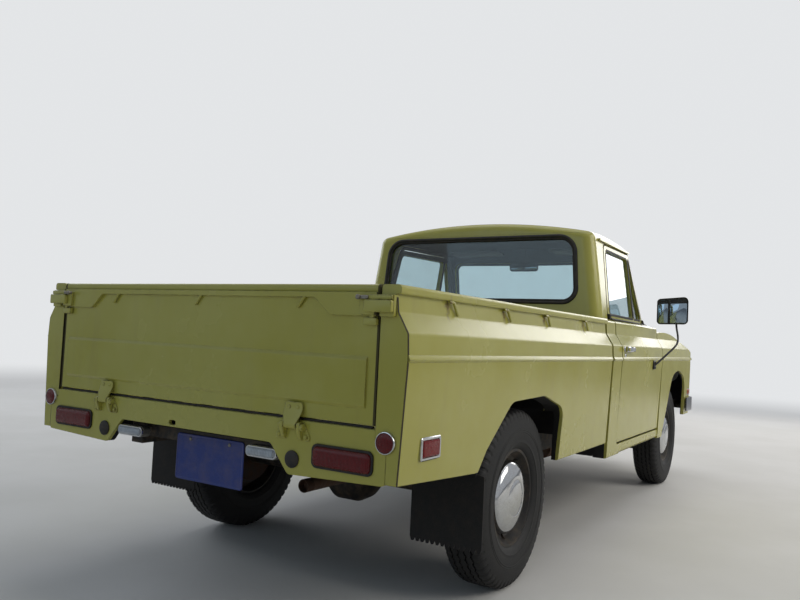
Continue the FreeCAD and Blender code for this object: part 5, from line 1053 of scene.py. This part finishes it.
for vent_y in (-620, -165, 150, 560):
    frame_line = round_box(vent_y - 42, vent_y + 42, 918, 950, 6)
    trim_forms.append(stacked(frame_line, [(20, 0), (-11, 0), (-13, 1.5), (-13, 4), (-6, 5)],
                              face=dash_x))
    for slat in range(4):
        low = 922.5 + 6.4 * slat
        slat_line = round_box(vent_y - 37, vent_y + 37, low, low + 2.4, 1)
        trim_forms.append(stacked(slat_line, [(-4, 0), (-11, 0)], face=dash_x))
piece("dashboard_trim", trim_forms, plastic)
piece("dial_faces", face_forms, dial_black)
piece("dial_marks", mark_forms, white_paint)
piece("dial_bezels", bezel_forms, chrome, along=True)
piece("dashboard_metal", metal_forms, zinc)

# Steering wheel. A black moulded rim on a steel core, two pressed spokes and a padded boss; it
# turns about its column, which slopes down by 33 degrees.
WHEEL_AT = np.array([2740.0, 340.0, 920.0])
slope = math.radians(33)
axle_way = np.array([math.cos(slope), 0, -math.sin(slope)])
wheel_up = np.array([math.sin(slope), 0, math.cos(slope)])
wheel_across = np.array([0.0, 1.0, 0.0])


def on_column(across, up, along):
    """Points given across, up and along the column, from the middle of the steering wheel."""
    return (WHEEL_AT + np.asarray(across)[..., None] * wheel_across
            + np.asarray(up)[..., None] * wheel_up + np.asarray(along)[..., None] * axle_way)


# The rim is a torus of radius 195 mm whose thickness of 12 mm swells behind into 24 finger ribs.
RIM, GRIP, RIB, RIBS = 195, 12.0, 0.8, 24
turn = np.linspace(0, 2 * math.pi, 120, endpoint=False)
around = np.linspace(0, 2 * math.pi, 16, endpoint=False)
behind = np.maximum(-np.sin(around), 0)
grip = GRIP + RIB * np.maximum(np.cos(RIBS * turn), 0)[:, None] * behind
ring_radius = RIM + grip * np.cos(around)
rim = on_column(ring_radius * np.cos(turn)[:, None], ring_radius * np.sin(turn)[:, None],
                grip * np.sin(around) + 0 * turn[:, None])
wheel_forms = [rim]
for way in (-1, 1):
    # A spoke runs from the boss out to the rim, drops by 22 mm on the way and gets narrower.
    share = np.linspace(0, 1, 12)
    spine = np.stack([way * (26 + 160 * share), -22 * share ** 2, 16 * (1 - share) ** 2 + 2], 1)
    half = 17 - 5 * share
    ring = np.array([(-1, -0.2), (-0.7, -0.45), (0.7, -0.45), (1, -0.2), (1, 0.25), (-1, 0.25)])
    wheel_forms.append(on_column(
        spine[:, None, 0] + 0 * ring[None, :, 0],
        spine[:, None, 1] + half[:, None] * ring[None, :, 0],
        spine[:, None, 2] + 9 * ring[None, :, 1]))
boss = np.array([(24, AXIS), (24, 27), (12, 29), (2, 40), (-6, 42), (-12, 39), (-17, 30),
                 (-20, 16), (-21, AXIS)])
boss_turn = np.linspace(0, 2 * math.pi, 48, endpoint=False)
wheel_forms.append(on_column(boss[:, 1, None] * np.cos(boss_turn),
                             boss[:, 1, None] * np.sin(boss_turn) * 0.8,
                             boss[:, 0, None] + 0 * boss_turn))
wheel = piece("steering_rim", wheel_forms[:1], plastic, "steering_wheel", along=True)
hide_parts("steering_wheel")
piece("steering_spokes", wheel_forms[1:], plastic, "steering_wheel")

# Controls on the floor. Three pedals hang from the bulkhead, and a chromed gear lever with a
# round knob comes out of a rubber gaiter on the tunnel.
pedal_forms, arm_forms = [], []
for pedal_y, wide, tall in ((470, 58, 46), (345, 58, 46), (225, 46, 92)):
    pad = round_box(pedal_y - wide / 2, pedal_y + wide / 2, 600, 600 + tall, 6)
    grid = stacked(pad, [(2935, 0), (2928, 0), (2925, 1.5), (2925, 4)])
    grid[..., 0] += (grid[..., 2] - 600) * 0.35
    pedal_forms.append(grid)
    top = 600 + tall / 2
    arm_forms.append(carried([(2942, pedal_y, top), (2975, pedal_y, top + 60),
                              (2990, pedal_y, top + 160), (2992, pedal_y, 868)],
                             [(-7, -3), (-7, 3), (7, 3), (7, -3)], (0, 1, 0)))
piece("pedal_pads", pedal_forms, rubber)
piece("pedal_arms", arm_forms, chassis_black)
gaiter = turned([(583, 66), (589, 66), (594, 58), (602, 54), (606, 44), (616, 40), (620, 30),
                 (634, 26), (640, 15), (656, 11)], (2650, 0, 0), "z", 40)
piece("gear_gaiter", gaiter, rubber)
# The lever bends back by 150 mm over its length: x = 2650 - 150 share^1.6.
share = np.linspace(0, 1, 24)
lever = np.stack([2650 - 150 * share ** 1.6, 0 * share, 640 + 280 * share], 1)
piece("gear_lever", carried(lever, CIRCLE * 5.5, (0, 1, 0)), chrome)
knob = [(940 - 21 * math.cos(a), max(19 * math.sin(a), AXIS)) for a in np.linspace(0, math.pi, 16)]
piece("gear_knob", lathed(knob, (2500, 0, 0), "z", 28), plastic)

# Door linings. Vinyl cards clipped to the doors, with a pressed border, a padded armrest, a
# chromed window crank and an inner handle.
vinyl = worn_material("vinyl", srgb(44, 42, 40), 0.48, 0.08, depth=0.6, scale=60.0)
# Turned parts of the window crank and the inner handle: profile, station, height, steps. Bars
# between them: path, half width, half thickness and the direction of lift.
CRANK = [([(0, 20), (-8, 20), (-12, 14), (-20, 12)], 2790, 720, 28),
         ([(-20, 8), (-48, 10), (-52, 7)], 2703, 759, 18),
         ([(0, 24), (-4, 24), (-6, 20)], 2900, 900, 28)]
CRANK_ARMS = [([(2790, -16, 720), (2740, -20, 745), (2700, -22, 760)], 7, 2.5, (0, 1, 0)),
              ([(2900, -8, 900), (2850, -18, 900), (2820, -20, 900)], 3, 8, (0, 0, 1))]
for side_name, side in SIDES:
    inner = 700 * side
    card_line = rounded([(2190, 520, 40), (3040, 520, 40), (3050, 1020, 25), (2180, 1020, 25)])
    card = [stacked(card_line, [(1, 0), (-3, 0), (-5, 2), (-5, 14), (-3.4, 16), (-3.4, 18),
                                (-6, 21), (-7, 24)], "XZ", face=inner, side=side)]
    rest = round_box(2330, 2680, 775, 830, 18)
    card.append(stacked(rest, [(-4, 0), (-34, 2), (-42, 7), (-45, 14)], "XZ", inner, side))
    piece(f"door_card_{side_name}", card, vinyl, f"door_{side_name}")
    crank_y = inner - 6 * side
    crank = [turned(profile, (x, crank_y, z), "y", steps, side)
             for profile, x, z, steps in CRANK]
    for path, half_wide, half_thick, lift in CRANK_ARMS:
        bar = [(-half_wide, -half_thick), (-half_wide, half_thick), (half_wide, half_thick),
               (half_wide, -half_thick)]
        crank.append(carried([(x, crank_y + y * side, z) for x, y, z in path], bar, lift))
    piece(f"door_crank_{side_name}", crank, chrome, f"door_{side_name}")

# Mirror and sun visors. A rounded black shell with a flat glass hangs on a stem below the
# ceiling, and two padded vinyl visors lie folded up against it.
shell = round_box(-63, 133, 1371, 1431, 20)
mirror_forms = [
    stacked(shell, [(2794, 3), (2793, 0), (2797, 0), (2808, 2), (2816, 11), (2818, 18)]),
    turned([(1425, 7), (1500, 5), (1512, 9)], (2806, 35, 0), "z", 20)]
inside_mirror = piece("cabin_mirror", mirror_forms, plastic)
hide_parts("interior_mirror")
pane = round_box(-57, 127, 1377, 1425, 15)
piece("cabin_mirror_glass", stacked(pane, [(2796, 0), (2792, 0), (2791.4, 0.8)]), mirror_glass)
visors = []
for _, side in SIDES:
    board = round_box(170 * side, 520 * side, 2668, 2800, 26)
    grid = stacked(board[:, ::-1], [(1490, 6), (1493, 1), (1498, 0), (1503, 1), (1506, 6)], "XY")
    grid[..., 2] -= (grid[..., 0] - 2668) * 0.12 + (grid[..., 1] / 1000) ** 2 * 40
    visors.append(grid)
piece("sun_visors", visors, vinyl)

# Bench seat. Two foam cushions in dark vinyl on a steel pan, crowned by their filling, with a
# sewn panel of pleats that run fore and aft on the seat and upwards on the back.
SEAT_HALF, BORDER, PLEAT = 640.0, 85.0, 58.0
PLEAT_DEPTH, SEAM_DEPTH, SEAM_HALF = 0.0065, 0.005, 5.0
VOXEL, CLOTH_FRAMES = 0.0095, 20
CLOTH = {"quality": 4, "mass": 0.3, "tension_stiffness": 12, "compression_stiffness": 12,
         "use_pressure": True, "uniform_pressure_force": 4}
seat_vinyl = worn_material("seat_vinyl", srgb(38, 36, 35), 0.45, 0.08, depth=0.8, scale=50.0)


def vectors(items, kind="co"):
    """One vector from each of some items, such as a mesh's vertices, as an array."""
    values = np.empty(len(items) * 3)
    items.foreach_get(kind, values)
    return values.reshape(-1, 3)


def evaluated(thing):
    """An object with its modifiers applied."""
    return thing.evaluated_get(bpy.context.evaluated_depsgraph_get())


def swollen(outline, floor_z, limit):
    """A closed cushion from a side outline: drawn a little small, remeshed in voxels, blown up
    as cloth and held to a limit of movement, then set flat on floor_z. Millimetres."""
    ends = [(-SEAT_HALF + 6, 22), (-SEAT_HALF + 12, 10), (-SEAT_HALF + 24, 6),
            (SEAT_HALF - 24, 6), (SEAT_HALF - 12, 10), (SEAT_HALF - 6, 22)]
    base = piece("cushion_base", stacked(outline, ends, "XZ"), seat_vinyl)
    remesh = base.modifiers.new("voxels", "REMESH")
    remesh.mode = "VOXEL"
    remesh.voxel_size = VOXEL
    mesh = bpy.data.meshes.new_from_object(evaluated(base))
    bpy.data.objects.remove(base)
    work = link(bpy.data.objects.new("cushion_work", mesh))
    start = vectors(mesh.vertices)
    cloth = work.modifiers.new("cloth", "CLOTH")
    for name, value in CLOTH.items():
        setattr(cloth.settings, name, value)
    cloth.settings.effector_weights.gravity = 0
    cloth.point_cache.frame_end = CLOTH_FRAMES
    for step in range(CLOTH_FRAMES):
        bpy.context.scene.frame_set(step + 1)
    move = vectors(evaluated(work).to_mesh().vertices) - start
    length = np.maximum(np.linalg.norm(move, axis=1), 1e-9)[:, None]
    start = start + move / length * np.minimum(length, limit / 1000)
    work.modifiers.remove(cloth)
    bpy.context.scene.frame_set(1)
    start[:, 2] = np.maximum(start[:, 2], floor_z / 1000)
    mesh.vertices.foreach_set("co", start.ravel())
    mesh.update()
    finer = work.modifiers.new("finer", "SUBSURF")
    finer.levels = finer.render_levels = 1
    fine = bpy.data.meshes.new_from_object(evaluated(work))
    bpy.data.objects.remove(work)
    return fine


def pleated(mesh, name, face_axis, low, high):
    """Sinks the sewn panel: pleats are crowned strips, |sin|^0.5 of the distance across, and a
    seam valley runs round the panel. The panel faces face_axis, between low and high along
    the pleats."""
    spot, normal = vectors(mesh.vertices), vectors(mesh.vertex_normals, "vector")
    drawn = (spot - (rear_face, 0, 0)) * 1000
    along = drawn[:, 2] if face_axis == 0 else drawn[:, 0]
    facing = np.clip((normal[:, face_axis] - 0.25) / 0.3, 0, 1)
    side_gap = SEAT_HALF - BORDER - np.abs(drawn[:, 1])
    inside = np.minimum(side_gap, np.minimum(along - low, high - along))
    panel = np.clip(inside / 6, 0, 1) * facing
    crown = np.sqrt(np.abs(np.sin(np.pi * drawn[:, 1] / PLEAT)))
    seam = np.exp(-(inside / SEAM_HALF) ** 2) * facing
    spot -= normal * (PLEAT_DEPTH * (1 - crown) * panel + SEAM_DEPTH * seam)[:, None]
    mesh.vertices.foreach_set("co", spot.ravel())
    mesh.update()
    mesh.shade_smooth()
    mesh.materials.clear()
    mesh.materials.append(seat_vinyl)
    made = link(bpy.data.objects.new(name, mesh))
    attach(made, "chassis")
    return made


cushion_line = rounded([(2103, 596, 30), (2550, 596, 30), (2568, 724, 45), (2113, 698, 20)], 8)
cushion = pleated(swollen(cushion_line, 590, 16), "bench_cushion", 2, 2190, 2520)
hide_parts("seat_cushion")
back_line = rounded([(2074, 724, 20), (2198, 724, 40), (2128, 1142, 34), (2052, 1142, 20)], 8)
backrest = pleated(swollen(back_line, 716, 14), "bench_backrest", 0, 800, 1080)
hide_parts("seat_back")

# Wheels. Pressed steel discs in black paint with a round-slotted ring, a chromed dome over the
# hub, a rubber valve and, behind them, iron brake drums. All of it turns with the wheel.
WHEELS = [(place, x, side_name, side) for place, x in (("front", 3580), ("rear", 940))
          for side_name, side in SIDES]
WHEEL_Z, WHEEL_HALF = 328, 650
VALVE = (160, math.radians(205))  # Distance from the hub and turn about it.
# Chromed cap: offset outwards from the middle of the wheel and radius.
CAP = [(16, 137), (21, 141), (27, 141), (31, 138.5), (35, 135.5), (44, 135), (50, 133.5),
       (56, 129), (61.5, 121), (66, 110), (70, 96), (73.2, 82), (75.4, 70), (75.2, 67.5),
       (74, 65.5), (75.4, 63), (78, 52), (80.2, 36), (81.4, 18), (81.8, AXIS)]
DRUM = [(-14, 96), (-17, 104), (-22, 112), (-30, 116), (-56, 116), (-58, 122), (-66, 122)]
wheel_black = worn_material("wheel_black", srgb(26, 24, 23), 0.5, 0.22, metallic=0.1, scale=22.0)
cap_chrome = worn_material("cap_chrome", srgb(210, 212, 214), 0.07, 0.16, metallic=1.0,
                           depth=0.02, scale=40.0)
drum_iron = worn_material("drum_iron", srgb(64, 50, 42), 0.7, 0.5, metallic=0.3,
                          dust=srgb(104, 66, 42))
for place, x, side_name, side in WHEELS:
    finish_nodes(wheel_black, f"wheel_{place}_{side_name}")
    hub = (x, WHEEL_HALF * side, WHEEL_Z)
    body = f"{place}_{side_name}_wheel"
    cap = lathed(CAP, hub, "y", 96, side)
    piece(f"hub_cap_{place}_{side_name}", cap, cap_chrome, body, ends=False)
    drum = turned(DRUM, hub, "y", 64, side)
    piece(f"brake_drum_{place}_{side_name}", drum, drum_iron, body)
    valve_at = (x + VALVE[0] * math.cos(VALVE[1]), hub[1], WHEEL_Z + VALVE[0] * math.sin(VALVE[1]))
    valve = turned([(18, 6.5), (26, 5.5), (38, 3.6), (46, 3.6), (47, 3.0)], valve_at, "y", 14,
                   side=side)
    piece(f"valve_{place}_{side_name}", valve, rubber, body)

# Tyres. Cross-ply style road tyres: black rubber moulded with five ribs between zigzag grooves,
# notched shoulders, and rings round the sidewalls. Grooves and notches are in the mesh.
PERIODS, STEPS = 60, 8
# Half section from the bead to the tread: offset outwards and radius. The ring lines at radius
# 205, 243 and 251 are moulded steps.
FLANK = [(55, 177), (61, 180.5), (66, 184), (70.5, 190), (74.5, 198), (77.2, 204), (78.6, 204.6),
         (79.4, 207), (78.8, 209.6), (80.2, 218), (81.4, 228), (82.0, 238), (82.0, 242.4),
         (83.2, 243), (83.3, 245.6), (82.1, 246.4), (81.9, 250.6), (82.8, 251.2), (82.8, 252.8),
         (81.6, 253.6), (81.0, 264), (79.4, 276), (77.2, 288), (75.2, 297)]
SHOULDER = [(73.6, 304), (71.4, 311.5), (68.0, 317.5), (63.5, 321.8)]
GROOVES = [(-38, 1), (-13, -1), (13, 1), (38, -1)]
GROOVE_HALF, GROOVE_DEPTH, ZIGZAG = 3.6, 8.0, 3.4
NOTCH_DEPTH, NOTCH_SHARE = 6.5, 0.3
TREAD_EDGE, CROWN_RADIUS = 57, 900


def crown(y):
    """Radius of the tread at an offset: y^2 / (2 crown radius) less than in the middle."""
    return WHEEL_Z - y ** 2 / (2 * CROWN_RADIUS)


def tyre_grid(side, hub):
    """Points of a tyre: rows run round it, columns across it from the inner bead to the outer.
    A groove's columns shift sideways by a triangle wave, so its walls zigzag; every period has
    one notch in each shoulder, half a period apart."""
    rows = PERIODS * STEPS
    turn = np.arange(rows) / rows
    phase = (turn * PERIODS) % 1.0
    wave = 4 * np.abs(phase - 0.5) - 1
    columns = [(y, r, 0.0, 0.0) for y, r in FLANK]
    columns += [(y, r, 0.0, 1.0) for y, r in SHOULDER]
    tread = []
    for middle, way in GROOVES:
        for offset, drop in ((-GROOVE_HALF, 0), (-GROOVE_HALF * 0.55, 1), (GROOVE_HALF * 0.55, 1),
                             (GROOVE_HALF, 0)):
            y = middle + offset
            tread.append((y, crown(y) - drop * GROOVE_DEPTH, way * 1.0, 0.0))
    inner = [(-y, r, zig, notch) for y, r, zig, notch in columns]
    edges = [[(y, crown(y) - 0.6, 0, 0.6)] for y in (-TREAD_EDGE, TREAD_EDGE)]
    full = np.array(inner + edges[0] + tread + edges[1] + columns[::-1])
    y = full[None, :, 0] + ZIGZAG * wave[:, None] * full[None, :, 2]
    shift = np.where(full[:, 0] > 0, 0.5, 0.0)
    notch = ((phase[:, None] + shift) % 1.0 < NOTCH_SHARE) * full[None, :, 3]
    radius = full[None, :, 1] - NOTCH_DEPTH * notch
    angle = 2 * math.pi * turn[:, None]
    return np.stack([radius * np.cos(angle), y * side, radius * np.sin(angle)], -1) + hub


tyre_rubber = worn_material("tyre_rubber", srgb(11, 11, 12), 0.66, 0.045, depth=0.35, scale=11.0,
                            dust=srgb(96, 88, 76), grain=0.0008, bevel=0.0012)
for place, x, side_name, side in WHEELS:
    grid = tyre_grid(side, (x, WHEEL_HALF * side, WHEEL_Z))
    made = piece(f"road_tyre_{place}_{side_name}", grid, tyre_rubber, f"{place}_{side_name}_wheel",
                 along=True, crease=32)
    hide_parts(f"tyre_{place}_{side_name}")

# Tailpipe end. The pipe's open steel mouth, rusted.
tail_steel = worn_material("tail_steel", srgb(70, 56, 46), 0.65, 0.6, metallic=0.5,
                           dust=srgb(96, 58, 36))
MOUTH = [(304, 22.4), (274, 22.4), (272, 21.6), (272, 20.4), (274, 19.8), (299, 19.8),
         (304, 19.8)]
mouth = lathed(MOUTH, (0, -250, 400), "x", 32)
piece("tailpipe_mouth", mouth, tail_steel, along=True)
